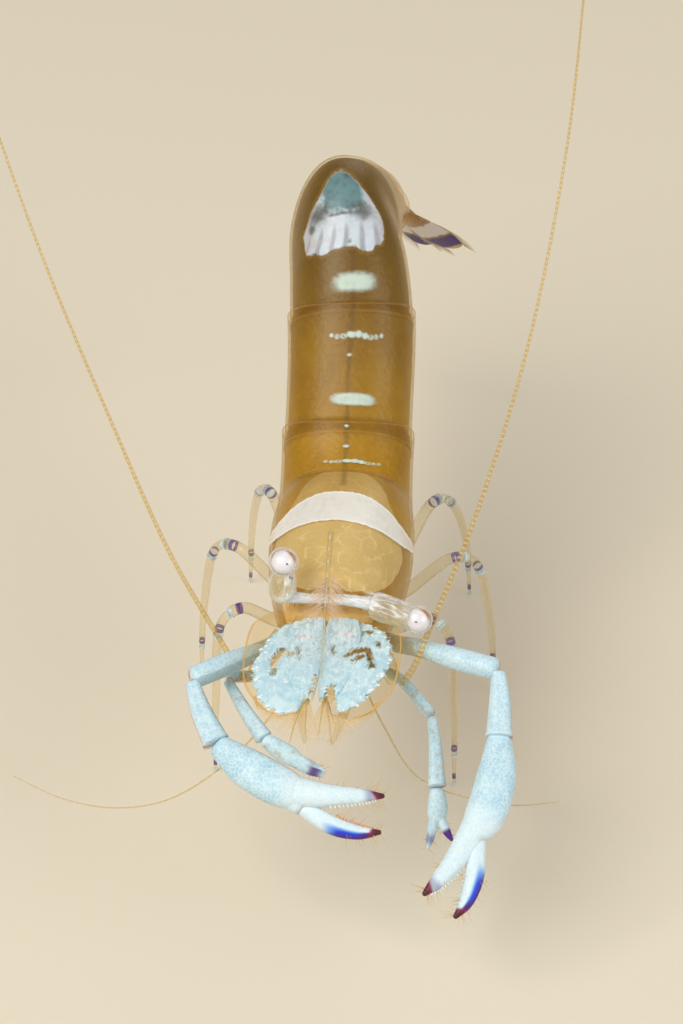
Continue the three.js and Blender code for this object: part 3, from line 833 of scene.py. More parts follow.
def core_section(angle, size, u):
    """The soft body under the plates, drawn in a little at each joint of the abdomen."""
    k = np.clip(np.searchsorted(SEGMENT_ENDS, u), 0, 6)
    f = (u - SEGMENT_STARTS[k]) / (SEGMENT_ENDS[k] - SEGMENT_STARTS[k])
    flare = 1 + FLARES[k] * np.minimum(f, 0.93) ** 2
    abdomen = smooth_step(u, JOINTS[0] - 0.05, JOINTS[0] - 0.002)
    inset = 0.075 + 0.03 * sum(peak(u, joint, 0.007) for joint in JOINTS)
    lobe = 1 - abdomen * (0.22 - 0.2 * np.sin(math.pi * np.clip(f, 0, 1)) ** 0.7)
    return trunk_outline(angle, size, u, flare, inset, lobe, 0.15 + 0.2 * abdomen)


def inside_polygon(points, corners):
    """How far each point is inside a polygon, or outside it where negative."""
    distance = np.full(len(points), 1e9)
    inside = np.zeros(len(points), bool)
    for a, b in zip(corners, np.roll(corners, -1, axis=0)):
        distance = np.minimum(distance, to_stroke(points, a, b))
        with np.errstate(divide="ignore", invalid="ignore"):
            meets = a[0] + (points[:, 1] - a[1]) / (b[1] - a[1]) * (b[0] - a[0])
        inside ^= ((a[1] > points[:, 1]) != (b[1] > points[:, 1])) & (points[:, 0] < meets)
    return np.where(inside, distance, -distance)


def to_stroke(points, start, stop):
    """Distance from each point to a straight stroke."""
    way, off = np.subtract(stop, start), points - start
    t = np.clip(off @ way / (way @ way), 0, 1)
    return np.linalg.norm(off - t[:, None] * way, axis=1)


def on_back(station, degrees):
    """Millimetres along and round the back. Degrees are positive on the animal's right."""
    u, gone = TRUNK.lengths(samples=1301)
    return np.stack([np.interp(np.asarray(station) / STATIONS, u, gone),
                     np.asarray(degrees) * MM_PER_DEGREE], -1)


def saddle_band(station, degrees):
    """The white saddle over the carapace, drawn forward and narrower down the sides."""
    turn = np.abs(degrees)
    front = np.interp(turn, (0, 25, 50, 65, 82, 98), (2.93, 2.9, 2.96, 3.12, 3.45, 3.9))
    rear = np.interp(turn, (0, 12, 25, 50, 65, 82, 98), (3.85, 3.83, 3.73, 3.52, 3.52, 3.68, 3.94))
    return np.minimum(station - front, rear - station) * 1.4


def bar_mark(spot, station, degrees, half_long, half_wide):
    """A short white bar across the back, with round ends."""
    off = np.abs(spot - on_back(station, degrees)) / (half_long, half_wide)
    return (1 - np.sum(off**2.6, -1) ** (1 / 2.6)) * half_long


def ring_row(spot, station, first, last, radius, count=9, wall=0.02):
    """A row of small white rings across the back, the middle ones run together."""
    marks = []
    for k, degrees in enumerate(np.linspace(first, last, count)):
        middle = 1 - abs(2 * k / (count - 1) - 1)
        centre = on_back(station + 0.015 * math.sin(5.0 * k), degrees)
        reach = np.linalg.norm(spot - centre, axis=-1)
        own = radius * (0.75 + 0.5 * middle)
        ring = wall - np.abs(reach - own + wall)
        marks.append(np.maximum(ring, (own - reach) if middle > 0.55 else ring))
    return np.max(marks, 0)


DOTS = ((5.5, 0.05), (5.76, 0.035), (6.62, 0.04))  # station and radius, on the middle of the back


def white_marks(station, degrees):
    """How far inside a white mark each place on the back is, in millimetres."""
    spot = on_back(station, degrees)
    found = [
        saddle_band(station, degrees),
        0.35 * bar_mark(spot, 6.10, -5, 0.2, 0.45),
        0.25 * bar_mark(spot, 7.52, -1, 0.2, 0.44),
        ring_row(spot, 5.25, 14.5, -27, 0.07),
        0.6 * ring_row(spot, 6.82, 14.5, -25, 0.065),
    ]
    found += [size - np.linalg.norm(spot - on_back(dot, 0), axis=-1) for dot, size in DOTS]
    return np.max(found, 0)


CAP_OUTLINE = on_back(
    (9.12, 9.02, 8.85, 8.7, 8.45, 8.2, 8.02, 7.93, 7.93, 8.0, 7.93, 7.92, 8.05, 8.25, 8.45, 8.7, 8.95),
    (2, 12, 24, 40, 54, 52, 46, 32, 16, 6, -4, -16, -26, -31, -30, -22, -10),
)
CAP_SHADOWS = (  # station, degrees, and reach along and round the back
    (8.58, 30, (0.17, 0.42)), (8.5, -9, (0.17, 0.34)), (8.44, 40, (0.12, 0.16)),
    (8.5, 10, (0.04, 0.5)), (9.04, -2, (0.09, 0.12)), (8.05, 2, (0.05, 0.04)),
)


def cap_looks(station, degrees):
    """The pale cap on the hump: its outline, the teal top, the lobes of its rear half, dark patches."""
    spot = on_back(station, degrees)
    dark = [np.exp(-np.sum(((spot - on_back(s, d)) / reach) ** 2, -1)) for s, d, reach in CAP_SHADOWS]
    rise = (station - 7.92) / 1.2
    ray = (degrees - 5) / (1.1 - 0.5 * rise)
    lobe = (0.5 + 0.5 * np.cos(ray / 6.5 * math.pi + 0.8 * np.sin(ray / 9))) ** 2
    scallop = 0.07 * np.abs(np.sin((degrees + 2) / 18.0 * math.pi)) * smooth_step(0.3 - rise, 0.0, 0.2)
    return {
        "cap": inside_polygon(spot, CAP_OUTLINE) + scallop - 0.04,
        "cap_teal": smooth_step(rise, 0.4, 0.62) * peak(degrees, 5, 19, 4),
        "cap_flank": 0.5 * smooth_step(np.abs(degrees - 8), 22, 40),
        "cap_lobe": lobe * smooth_step(0.5 - rise, 0.0, 0.3),
        "cap_dark": np.max(dark, 0),
    }


def plate_start(k, angle):
    """Where a plate starts at each angle. The carapace is drawn forward over the brow, notched for
    each eye, with a spine below."""
    if k:
        return SEGMENT_STARTS[k] - TUCK + 0 * angle
    turn = np.abs(wrapped(angle))
    notch, spine = peak(turn, 0.62, 0.26), peak(turn, 1.05, 0.07)
    return 0.018 * notch - 0.012 * spine + 0.06 * smooth_step(turn, 1.3, 2.9)


def plate_stop(k, angle):
    """Where a plate ends at each angle: in a slight wave, but for the last."""
    if k == 6:
        return 1.0 + 0 * angle
    wave = 0.003 * (1 - np.cos(2 * angle)) if k else 0.004 * np.cos(angle) - 0.004
    return SEGMENT_ENDS[k] - 0.0025 + wave


BLANK = {"mark": -1.0, "cap": -1.0, "rim": 0.3}  # the looks of a plate's inner wall, 0 for the others


def shell_plate(k):
    """One plate of the shell, a thin wall with rounded edges, open at both ends."""
    around = 300 if k in (0, 3) else 240
    length = TRUNK.lengths(SEGMENT_STARTS[k], SEGMENT_ENDS[k])[1][-1]
    rows = int(length / SHELL_STEP) + 8
    angle = np.linspace(0, 2 * math.pi, around, endpoint=False)[None, :]
    start, stop = plate_start(k, angle), plate_stop(k, angle)
    t = np.linspace(0, 1, rows)[:, None]
    u = np.clip(start + (stop - start) * t, 0, 1)
    turn = np.broadcast_to(angle, u.shape)
    outer, inner = (placed(TRUNK, u, turn, plate_section(k, inset)) for inset in (0, SHELL_WALL))
    rear, front = (placed(TRUNK, u[[end]] + side * EDGE_ROUND, turn[[end]], plate_section(k, SHELL_WALL / 2))
                   for end, side in ((-1, 1), (0, -1)))
    points = np.concatenate([outer, rear, inner[::-1], front])
    station, degrees = (u * STATIONS).ravel(), np.degrees(wrapped(turn)).ravel()
    looks = {
        "mark": white_marks(station, degrees) if k < 4 else -1.0,
        "cap": -1.0,
        "side": np.abs(degrees) / 90,
        "behind": np.where(station > 5, 1.0, 0.0),
        "rim": (np.minimum(t, 1 - t) * length + 0 * u).ravel(),
        "outside": 1.0,
        **(cap_looks(station, degrees) if k == 3 else {}),
    }
    for name, own in looks.items():
        own = np.broadcast_to(own, u.size).reshape(u.shape)
        hidden = np.full(u.shape, BLANK.get(name, 0.0))
        looks[name] = np.concatenate([own, hidden[:1], hidden, hidden[:1]]).ravel()
    looks["outside"].reshape(-1, around)[rows] = 1.0
    shape = Shape().add(points, [grid_faces(len(points), around, closed_rows=True)], looks)
    for side in SIDES.values() if k == 0 else ():
        base = placed(TRUNK, np.array([0.012]), np.array([side * 1.05]), plate_section(0))[0]
        shape.thorn(base, unit((-0.05 * side, -1, 0.05)), 0.34, 0.05, {"mark": -1, "cap": -1, "outside": 1})
    node = f"abdomen_{k}" if k else "carapace"
    piece(shape, f"{node}_plate", "shell", node)


def ovary_depth(station, degrees):
    """How far inside the pale mass of the ovary a place is, under the carapace."""
    turn = np.abs(degrees)
    front = np.interp(turn, (0, 40, 62, 80), (0.5, 0.6, 1.1, 2.6))
    rear = np.interp(turn, (0, 14, 30, 52, 80), (5.0, 4.9, 4.3, 3.5, 2.8))
    return np.minimum(np.minimum(station - front, rear - station) * 1.3, (76 - turn) * MM_PER_DEGREE)


def core_looks(g):
    """The looks of the soft body: the ovary, the gut, the joints and the darker hump."""
    station = g.u * STATIONS
    on_gut = (g.u > JOINTS[0] - 0.07) & (np.cos(g.angle) > 0)
    return {
        "ovary": ovary_depth(station, np.degrees(wrapped(g.angle))),
        "deep": smooth_step(station, 3.4, 3.9),
        "gut": np.where(on_gut, np.abs(np.sin(g.angle)), 1.0),
        "hump": np.interp(station, (4.6, 8.8, 9.6, 11.8), (0, 1, 1, 0.5)),
        # the front end near the middle: its paler tint and the painted light over the shaded brow
        "rosy": peak(station, 0, 0.55) * peak(np.sin(g.angle), 0, 0.45),
        "joint": sum(peak(g.u, joint - 0.004, 0.009) for joint in JOINTS),
    }


def body_core():
    """The soft body, which runs forward under the brow."""
    shape = Shape().tube(TRUNK, 180, 0.06, 0.008, 0.996, (0.35, 0.2), core_section, core_looks)
    brow = straight((0, 0.7, 6.72), (0, -0.32, 6.74), (1.25, 0.6, 0.7), (0.95, 0.3, 0.5))
    # the brow tube carries most of the paler tint and painted light
    looks = {"gut": 1, "ovary": -1, "rosy": 0.75}
    shape.tube(brow, 60, caps=(0.2, 0.3), section=boxy(2.4), looks=looks)
    piece(shape, "soft_body", "flesh")


ROSTRUM = SimpleNamespace(
    back=2.0, tip=-3.95, low=7.86, rise=0.32, half=0.06, around=32,
    turn=0.05,  # radians to the side
    teeth=9, tooth=0.14, climb=0.055, fall=0.013,  # a tooth's height, and its slopes as shares of the length
)


def rostrum():
    """The saw-toothed blade on the brow. Its teeth point forward and it has a rib along each side."""
    r = ROSTRUM
    peaks = [k / (r.teeth + 1) for k in range(1, r.teeth + 1)]
    t = np.unique(np.concatenate([np.linspace(0, 1, 160)] + [at + np.array([-0.001, 0, 0.012, r.fall])
                                                            for at in peaks]))
    tooth = np.zeros(len(t))
    for at in peaks:
        rising = np.clip((t - at + r.climb) / r.climb, 0, 1) * (t <= at)
        falling = np.clip(1 - (t - at) / r.fall, 0, 1) * (t > at)
        tooth += r.tooth * (rising**1.4 + falling)
    low = r.low + r.rise * t
    top = low + 0.05 + 0.36 * np.sin(math.pi * (0.12 + 0.8 * t)) * (1 - t**4) + tooth
    angle = np.linspace(0, 2 * math.pi, r.around, endpoint=False)
    c, s = np.cos(angle)[None], np.sin(angle)[None]
    rib = 0.9 * peak(c, -0.25, 0.16)
    x = r.half * (1 - 0.65 * t)[:, None] * np.sign(s) * (0.45 * np.abs(s) ** 0.8 + rib * (np.abs(s) > 0.1))
    y = (r.back - (r.back - r.tip) * t)[:, None] + 0 * c
    z = ((top + low) / 2)[:, None] + ((top - low) / 2)[:, None] * c
    sine, cosine = math.sin(r.turn), math.cos(r.turn)
    rings = np.stack([x * cosine - y * sine, x * sine + y * cosine, z], -1)
    points = np.vstack([rings.reshape(-1, 3), rings[0].mean(0), rings[-1].mean(0)])
    white = np.append((c > 0.86) * np.clip(tooth / 0.1, 0, 1)[:, None], [0, 0])
    faces = [grid_faces(len(t), r.around), cap_faces(len(t), r.around)]
    piece(Shape().add(points, faces, {"white": white, "violet": 0}), "rostrum_blade", "brow", "rostrum")


# ---- eyes on their stalks ----
EYESTALKS = {
    "left": Line([
        [(1.0, -0.24, 7.51), 0.24],
        [(1.3, -0.24, 7.42), 0.34],
        [(1.65, -0.23, 7.28), 0.335],
        [(1.97, -0.22, 7.15), 0.26],
    ]),
    "right": Line([
        [(-0.98, -0.3, 7.55), 0.24],
        [(-1.07, -0.28, 7.72), 0.33],
        [(-1.1, -0.2, 7.98), 0.33],
        [(-1.08, -0.1, 8.22), 0.25],
    ], (0, 1, 0)),
}
EYE_BAR = Line([
    [(-1.05, -0.27, 7.6), 0.15],
    [(-0.5, -0.24, 7.57), 0.115],
    [(0.0, -0.22, 7.57), 0.12],
    [(0.55, -0.23, 7.57), 0.13],
    [(1.1, -0.24, 7.5), 0.17],
])
CLEAR_RADIUS, PEARL_RADIUS = 0.375, 0.3
EYE_LOOKS = {"left": unit((0.75, -0.55, -0.35)), "right": unit((0.1, -0.45, 0.9))}
EYE_SPOTS = {"left": unit((-0.1, -0.85, 0.5)), "right": unit((0.32, -0.75, 0.45))}
EYE_CRESCENTS = {"left": unit((0.7, 0.2, 0.7)), "right": unit((0.75, 0.35, 0.6))}
FACE = unit((0.07, -0.785, 0.615))  # the side the eyes' white discs are on


def globe(side, radius, flat=0.0, looks=None):
    """A globe with its poles along the eye's own look. Its front is flattened by flat."""
    axis = EYE_LOOKS[side]
    back = np.array(EYE_AT[side]) - axis * radius
    line = straight(back, back + axis * radius * (2 - flat), radius)
    return Shape().tube(line, 48, radius / 12, caps=(radius * 0.999, radius * (0.999 - flat)), looks=looks)


def eye(side):
    """A clear globe round a pearly one with a black spot and an orange crescent."""

    def pearl_looks(g):
        way = unit(g.points - EYE_AT[side])
        spot, crescent, face = (np.arccos(np.clip(way @ aim, -1, 1))
                                for aim in (EYE_SPOTS[side], EYE_CRESCENTS[side], FACE))
        orange = peak(crescent, 0, 0.75) * smooth_step(face, 0.75, 1.0)
        return {"black": peak(spot, 0, 0.1), "orange": orange}

    piece(globe(side, PEARL_RADIUS, looks=pearl_looks), f"eye_pearl_{side}", "pearl")
    piece(globe(side, CLEAR_RADIUS, 0.06), f"eye_clear_{side}", "cornea", f"eye_{side}")


def frost_fibres(name, line, count, stop, turns, length, spread, radius):
    """White fibres that lie along a stalk, more of them on the sides given by turns."""
    u = RANDOM.uniform(0.05, stop, count)
    angle = RANDOM.choice(turns, count) + RANDOM.normal(0, 0.45, count)
    at, along, out, size = line.around(u, angle)
    aside = np.cross(along, out) * RANDOM.normal(0, spread, count)[:, None]
    ways = along * RANDOM.choice((-1, 1), count)[:, None] + aside + out * 0.06
    lengths = length * RANDOM.uniform(0.5, 1.2, count)
    hairs(name, at + out * size[:, :1] * 0.985, ways, lengths, radius, (0, 0, 0), "frost")


def eyestalk(side):
    """A stalk: white streaks along its upper side over a clear bulb."""
    line = EYESTALKS[side]
    turns = {"left": (0.0, -0.9, 0.7), "right": (1.5, -1.5, 2.6)}[side]

    def looks(g):
        sides = np.max([np.cos(g.angle - turn) for turn in turns], 0)
        return {
            "white": smooth_step(sides, 0.5, 1.0) * 0.9 + 0.6 * peak(g.gone, 0, 0.12) - 0.3,
            "gone": g.gone,
            "turn": g.angle,
            "dark": peak(g.u, 0.93, 0.04) * peak(wrapped(g.angle - 2.2), 0, 0.3),
        }

    shape = Shape().tube(line, 40, 0.03, caps=(0.2, 0.08), looks=looks)
    piece(shape, f"stalk_{side}", "stalk", f"eyestalk_{side}")
    frost_fibres(f"stalk_fibres_{side}", line, 150, 0.95, turns, 0.26, 0.12, 0.006)


def eye_bar():
    """The white bar of fibres that joins the stalks, with finer golden hairs across its middle."""
    shape = Shape().tube(EYE_BAR, 28, 0.03, looks=lambda g: {"white": 0.85, "gone": g.gone, "turn": g.angle})
    piece(shape, "eye_bar", "stalk")
    frost_fibres("eye_bar_fibres", EYE_BAR, 320, 0.97, (0.0, 0.8, -0.9, 1.9), 0.2, 0.25, 0.008)
    count = 190
    y = RANDOM.uniform(-1.15, 0.35, count)
    side = RANDOM.choice((-1, 1), count)
    roots = np.stack([side * 0.05 + 0.02, y, 7.88 - 0.1 * y], 1)
    ways = np.stack([side * RANDOM.uniform(0.3, 1.0, count), RANDOM.uniform(-1.0, -0.3, count),
                     RANDOM.uniform(-0.35, 0.1, count)], 1)
    lengths = RANDOM.uniform(0.3, 0.75, count)
    hairs("brow_hairs", roots, ways, lengths, 0.0075, (0, 0, -0.15), "rosy_hair")


# ---- antennules and antennal scales ----
ANTENNULE = [
    [(0.4, 0.1, 6.91), (0.3, 0.07, 0.2)],
    [(0.425, -0.7, 6.92), (0.44, 0.08, 0.2)],
    [(0.41, -1.7, 6.93), (0.42, 0.07, 0.18)],
    [(0.37, -2.4, 6.94), (0.37, 0.07, 0.15)],
    [(0.28, -3.0, 6.96), (0.25, 0.06, 0.12)],
    [(0.22, -3.35, 6.95), (0.14, 0.05, 0.1)],
]
THREADS = (
    [[(0.26, -3.2, 7.0), 0.03], [(0.32, -3.7, 7.0), 0.025], [(0.42, -4.2, 6.92), 0.02],
     [(0.5, -4.7, 6.75), 0.012]],
    [[(0.2, -3.2, 6.98), 0.028], [(0.19, -3.6, 6.96), 0.023], [(0.18, -4.0, 6.88), 0.018],
     [(0.16, -4.35, 6.74), 0.01]],
)
SCALE = [
    [(0.9, 0.3, 6.66), (0.4, 0.09, 0.07)],
    [(1.02, -0.4, 6.8), (0.8, 0.07, 0.06)],
    [(1.04, -1.6, 6.92), (0.88, 0.06, 0.05)],
    [(0.98, -2.6, 6.93), (0.84, 0.05, 0.045)],
    [(0.8, -3.3, 6.9), (0.6, 0.045, 0.04)],
    [(0.62, -3.72, 6.86), (0.24, 0.04, 0.03)],
]
VEIL = SimpleNamespace(middle=-2.6, wide=1.62, far=2.0, low=6.72)  # the oval where the fringes' tips end

# The blue pigment of the head limbs is one patch with windows in it, laid out on a slanting plane
# through the scales: millimetres to the animal's left and ahead of the brow.
SLANT = (-0.11, 1.27)
PATCH = np.array([
    (-0.05, 0), (-0.35, -0.08), (-0.7, -0.26), (-1.1, -0.55), (-1.35, -0.95), (-1.5, -1.5), (-1.65, -2.15),
    (-1.6, -2.7), (-1.4, -3.3), (-1.2, -3.6), (-0.65, -3.9), (-0.35, -3.8), (-0.35, -3.55), (-0.2, -3.4),
    (-0.15, -2.9), (-0.1, -2.3), (-0.1, -3.05), (-0.05, -3.25), (0.1, -3.25), (0.2, -3.15), (0.25, -2.8),
    (0.4, -2.55), (0.45, -3.1), (0.5, -3.7), (0.9, -3.5), (1.2, -3.1), (1.4, -2.65), (1.6, -2.1),
    (1.7, -1.65), (1.65, -1.1), (1.45, -0.6), (1.1, -0.3), (0.6, -0.06), (0.1, 0),
])
WINDOWS = (  # strokes, each with its half width
    ((-1.0, -1.5), (-1.14, -1.9), 0.1), ((-1.14, -1.9), (-1.11, -2.35), 0.08),
    ((-1.4, -0.85), (-1.25, -0.75), 0.05), ((-0.92, -1.55), (-0.75, -1.6), 0.05),
    ((1.0, -0.65), (1.1, -0.6), 0.07), ((0.58, -1.55), (0.8, -1.33), 0.07),
    ((0.8, -1.33), (1.1, -1.27), 0.09), ((1.12, -1.3), (1.22, -1.85), 0.08),
    ((0.76, -1.7), (1.0, -1.5), 0.05), ((1.3, -0.95), (1.36, -1.08), 0.04),
    ((-0.62, -1.35), (-0.55, -1.75), 0.03), ((0.22, -1.2), (0.3, -1.55), 0.02),
)
STATOCYSTS = ((-0.49, -0.88), (0.5, -0.72))


def patch_looks(g):
    """The looks of the blue patch at the places of a body of the head."""
    spots = g.points[:, :2] + (g.points[:, 2:] - 6.9) * SLANT
    aside = np.abs(spots[:, 0])
    inside = inside_polygon(spots, PATCH)
    pink = [np.linalg.norm((spots - at) / (0.2, 0.14), axis=1) for at in STATOCYSTS]
    return {
        "pigment": inside,
        "window": np.min([to_stroke(spots, a, b) - width for a, b, width in WINDOWS], 0),
        "thin": smooth_step(spots[:, 1], -2.7, -1.0) * smooth_step(-aside, -1.25, -0.6),
        "outer": smooth_step(0.22 - inside, 0.0, 0.12) * smooth_step(aside, 0.75, 1.1),
        "middle": peak(spots[:, 0], 0, 0.22),
        "pink": 1.4 - np.min(pink, 0),
    }


def rings(pitch):
    """Looks of a feeler: 1 at each of its joints and 0 half way between two."""
    return lambda g: {"ring": 0.5 + 0.5 * np.cos(2 * math.pi * g.gone / pitch)}


def antennule(side):
    """A flat base of three parts with a spine at its outer side, and two threads."""
    sign = SIDES[side]
    line = Line(mirrored(ANTENNULE, sign))
    shape = Shape()
    for start, stop in ((0, 0.56), (0.54, 0.8), (0.78, 1.0)):
        shape.tube(line, 40, 0.03, start, stop, (0.06 if start else 0.2, 0.06), boxy(4), patch_looks)
    shape.thorn((sign * 0.84, -0.7, 6.98), unit((sign * 0.1, -1, 0)), 0.35, 0.04, patch_looks)
    piece(shape, f"antennule_base_{side}", "scale", f"antennule_{side}")
    threads = Shape()
    for stations in THREADS:
        threads.tube(Line(mirrored(stations, sign)), 10, 0.02, caps=(0.02, 0.01), looks=rings(0.1))
    piece(threads, f"antennule_threads_{side}", "feeler")


def antenna_scale(side):
    """A scale: a leaf with a rib and a tooth at its outer edge, and a fringe."""
    sign = SIDES[side]
    line = Line(mirrored(SCALE, sign))
    shape = Shape().tube(
        line, 120, 0.03, caps=(0.15, 0.12), section=blade(0.06, 0.96 * sign, 0.035),
        looks=lambda g: {**patch_looks(g), "ridge": peak(np.sin(g.angle) * sign, 0.96, 0.018)})
    at, _, across, _, size = line.at(0.74)
    root = at + across * sign * size[0] * 0.93
    shape.thorn(root, unit((-sign * 0.3, -1, -0.05)), 0.42, 0.045, {"pigment": -1, "ridge": 1})
    piece(shape, f"scale_blade_{side}", "scale", f"antenna_scale_{side}")
    fringe(f"scale_fringe_{side}", line, sign)


def fringe(name, line, sign, count=440):
    """The long fine hairs round a scale's inner and front edges, which make one clear veil."""
    inner, outer = np.linspace(0.74, 1.0, 60), np.linspace(1.0, 0.8, 20)[1:]
    way = np.repeat([-sign, sign], [len(inner), len(outer)])
    at, _, across, above, size = line.frame(np.clip(np.concatenate([inner, outer]), 0, 0.995))
    rim = at + across * (way * size[:, 0] * 0.95)[:, None] - above * 0.06
    gone = np.concatenate([[0], np.cumsum(np.linalg.norm(np.diff(rim, axis=0), axis=1))])
    place = (np.arange(count) + RANDOM.uniform(-0.5, 0.5, count)) / count
    roots = np.stack([np.interp(place * gone[-1], gone, rim[:, i]) for i in range(3)], axis=-1)
    turn = np.interp(place, (0, 0.4, 1), (-0.1, 0.3, 0.9)) * math.pi / 2
    aside, ahead = sign * VEIL.wide * np.sin(turn), VEIL.middle - VEIL.far * np.cos(turn)
    tips = np.stack([aside, ahead, np.full(count, VEIL.low)], axis=-1)
    reach = (tips - roots) * RANDOM.uniform(0.9, 1.0, count)[:, None]
    hairs(name, roots, reach, np.linalg.norm(reach, axis=1), 0.0026, (0, 0, -0.06), "fringe")


# ---- long feelers and mouth limbs ----
ANTENNA_BASE = [
    [(1.0, 0.6, 5.9), (0.3, 0.26, 0.26)],
    [(1.4, -0.3, 5.85), (0.27, 0.22, 0.22)],
    [(1.75, -1.0, 5.7), (0.19, 0.17, 0.17)],
]
ANTENNAE = {
    "left": [(1.9, -1.15, 5.72), (2.2, -0.7, 6.0), (2.5, -0.05, 6.6), (3.42, 1.8, 8.52),
             (4.52, 4.72, 11.8), (5.22, 8.37, 15.38), (5.42, 12.0, 17.7), (5.5, 15.6, 18.9)],
    "right": [(-1.9, -1.15, 5.62), (-2.15, -0.75, 5.48), (-2.55, -0.15, 5.75), (-3.95, 0.6, 8.05),
              (-5.55, 2.2, 10.87), (-7.38, 4.5, 13.87), (-9.2, 7.6, 16.6), (-10.9, 11.2, 18.2)],
}
ANTENNA_RADII = (0.09, 0.085, 0.072, 0.055, 0.042, 0.035, 0.03, 0.024)
ANTENNA_PITCH = 0.13  # from joint to joint
MAXILLIPED = [
    [(0.45, 1.1, 4.6), 0.17],
    [(0.58, -0.2, 4.75), 0.15],
    [(0.52, -1.5, 5.0), 0.12],
    [(0.33, -2.7, 5.05), 0.05],
]
EXOPODS = {
    "left": [(0.75, 0.3, 4.75), (1.5, -1.1, 4.3), (2.4, -2.4, 3.9), (3.6, -2.9, 3.75), (4.9, -3.1, 3.75),
             (5.95, -3.02, 3.88)],
    "right": [(-0.75, 0.3, 4.75), (-1.4, -1.2, 4.4), (-2.4, -2.2, 3.7), (-3.7, -2.9, 3.1), (-5.0, -3.1, 2.9),
              (-6.3, -3.0, 3.0), (-7.6, -2.6, 3.3)],
}
BARE = {"white": 0, "violet": 0}  # a clear limb without bands


def feeler(side):
    """A feeler on a base of two parts, a little thicker at each joint."""
    base = Line(mirrored(ANTENNA_BASE, SIDES[side]))
    shape = Shape()
    for start, stop in ((0, 0.55), (0.52, 1.0)):
        shape.tube(base, 28, 0.05, start, stop, (0.1, 0.08), looks=BARE)
    piece(shape, f"feeler_base_{side}", "limb", f"antenna_base_{side}")
    line = Line(thick(ANTENNAE[side], ANTENNA_RADII), (1, 0, 0))
    fine, gone = line.lengths(samples=2400)

    def jointed(angle, size, u):
        beat = 0.5 + 0.5 * np.cos(2 * math.pi * np.interp(u, fine, gone) / ANTENNA_PITCH)
        return oval(angle, size * (0.94 + 0.1 * beat**3)[..., None], u)

    shape = Shape().tube(line, 12, 0.02, caps=(0.05, 0.02), section=jointed, looks=rings(ANTENNA_PITCH))
    piece(shape, f"feeler_{side}", "feeler", f"antenna_{side}")


def mouth_limb(side):
    """The leg-like outer mouth limb, a brush of hairs on its end."""
    line = Line(mirrored(MAXILLIPED, SIDES[side]))
    shape = Shape()
    for start, stop in ((0, 0.36), (0.34, 0.7), (0.68, 1.0)):
        shape.tube(line, 24, 0.05, start, stop, (0.08, 0.08), looks=BARE)
    piece(shape, f"mouth_limb_{side}", "faint", f"maxilliped_{side}")
    count = 50
    u = RANDOM.uniform(0.6, 1.0, count)
    at, along, out, size = line.around(u, RANDOM.uniform(0, 2 * math.pi, count))
    lengths = RANDOM.uniform(0.15, 0.3, count)
    roots = at + out * size[:, :1] * 0.9
    hairs(f"mouth_brush_{side}", roots, out + along * 0.9, lengths, 0.006, (0, -0.1, -0.1),
          "fringe", "clear_limb")


def exopod(side):
    """A thin thread beside the mouth limb that reaches out past the claws."""
    points = EXOPODS[side]
    line = Line(thick(points, np.linspace(0.026, 0.01, len(points))))
    shape = Shape().tube(line, 8, 0.05, caps=(0.03, 0.01), looks=rings(0.2))
    piece(shape, f"mouth_thread_{side}", "feeler")


# ---- second legs: the large claws ----
CLAWS = {
    "left": SimpleNamespace(
        arm=[(0.8, 1.9, 4.75), (1.6, 0.9, 5.35), (2.35, 0.03, 5.95), (3.3, -0.6, 6.2), (4.2, -0.9, 6.22)],
        wrist=[(4.28, -1.0, 6.18), (4.36, -1.6, 5.82), (4.4, -2.38, 5.33)],
        palm=[(4.4, -2.4, 5.31), (4.4, -3.2, 4.8), (4.2, -4.05, 4.28), (3.88, -4.62, 3.91)],
        thumb=[(4.1, -4.2, 4.17), (3.53, -5.1, 3.65), (3.1, -5.65, 3.36), (2.82, -5.95, 3.22)],
        finger=[(4.04, -4.7, 3.86), (4.03, -5.35, 3.38), (3.86, -5.88, 3.01), (3.6, -6.23, 2.79)],
        flat=(0.12, -0.5, 0.85),
    ),
    "right": SimpleNamespace(
        arm=[(-0.8, 1.9, 4.75), (-1.3, 0.6, 5.4), (-1.8, -0.6, 6.02), (-2.45, -1.35, 6.22),
             (-3.12, -1.85, 6.2)],
        wrist=[(-3.15, -1.97, 6.12), (-2.88, -2.6, 5.8), (-2.45, -3.28, 5.42)],
        palm=[(-2.38, -3.36, 5.36), (-1.65, -3.85, 5.15), (-0.8, -4.25, 4.95), (-0.12, -4.47, 4.82)],
        thumb=[(-0.5, -4.35, 4.88), (0.45, -4.48, 4.96), (1.2, -4.47, 4.99), (1.78, -4.42, 4.98)],
        finger=[(-0.1, -4.64, 4.58), (0.55, -4.9, 4.36), (1.2, -5.0, 4.27), (1.74, -4.97, 4.3)],
        flat=(0.1, -0.62, 0.78),
    ),
}
PALM_SIZES = ovals((0.27, 0.22), (0.48, 0.34), (0.5, 0.37), (0.37, 0.28))
THUMB_SIZES = ovals((0.42, 0.32), (0.27, 0.21), (0.18, 0.14), (0.05, 0.05))
FINGER_SIZES = ovals((0.21, 0.18), (0.23, 0.19), (0.17, 0.15), (0.05, 0.05))
WRIST_SIZES = ovals((0.17, 0.17), (0.26, 0.24), (0.33, 0.3))
ARM_SIZES = (0.24, 0.22, 0.22, 0.27, 0.26)
RIMS = {"left": 0.55, "right": 1.0}  # strength of the orange line along each palm


def longer(points, before=0.0, after=0.0):
    """The points with the first and the last one moved out along the limb."""
    p = np.array(points, float)
    p[0] += unit(p[0] - p[1]) * before
    p[-1] += unit(p[-1] - p[-2]) * after
    return p


def way_across(line, toward):
    """1 or -1: which way across a limb faces toward."""
    return float(np.sign(line.at(0.5)[2] @ toward))


def inward(line, other):
    """1 or -1: which way across a finger its partner lies."""
    return way_across(line, other.at(0.5)[0] - line.at(0.5)[0])


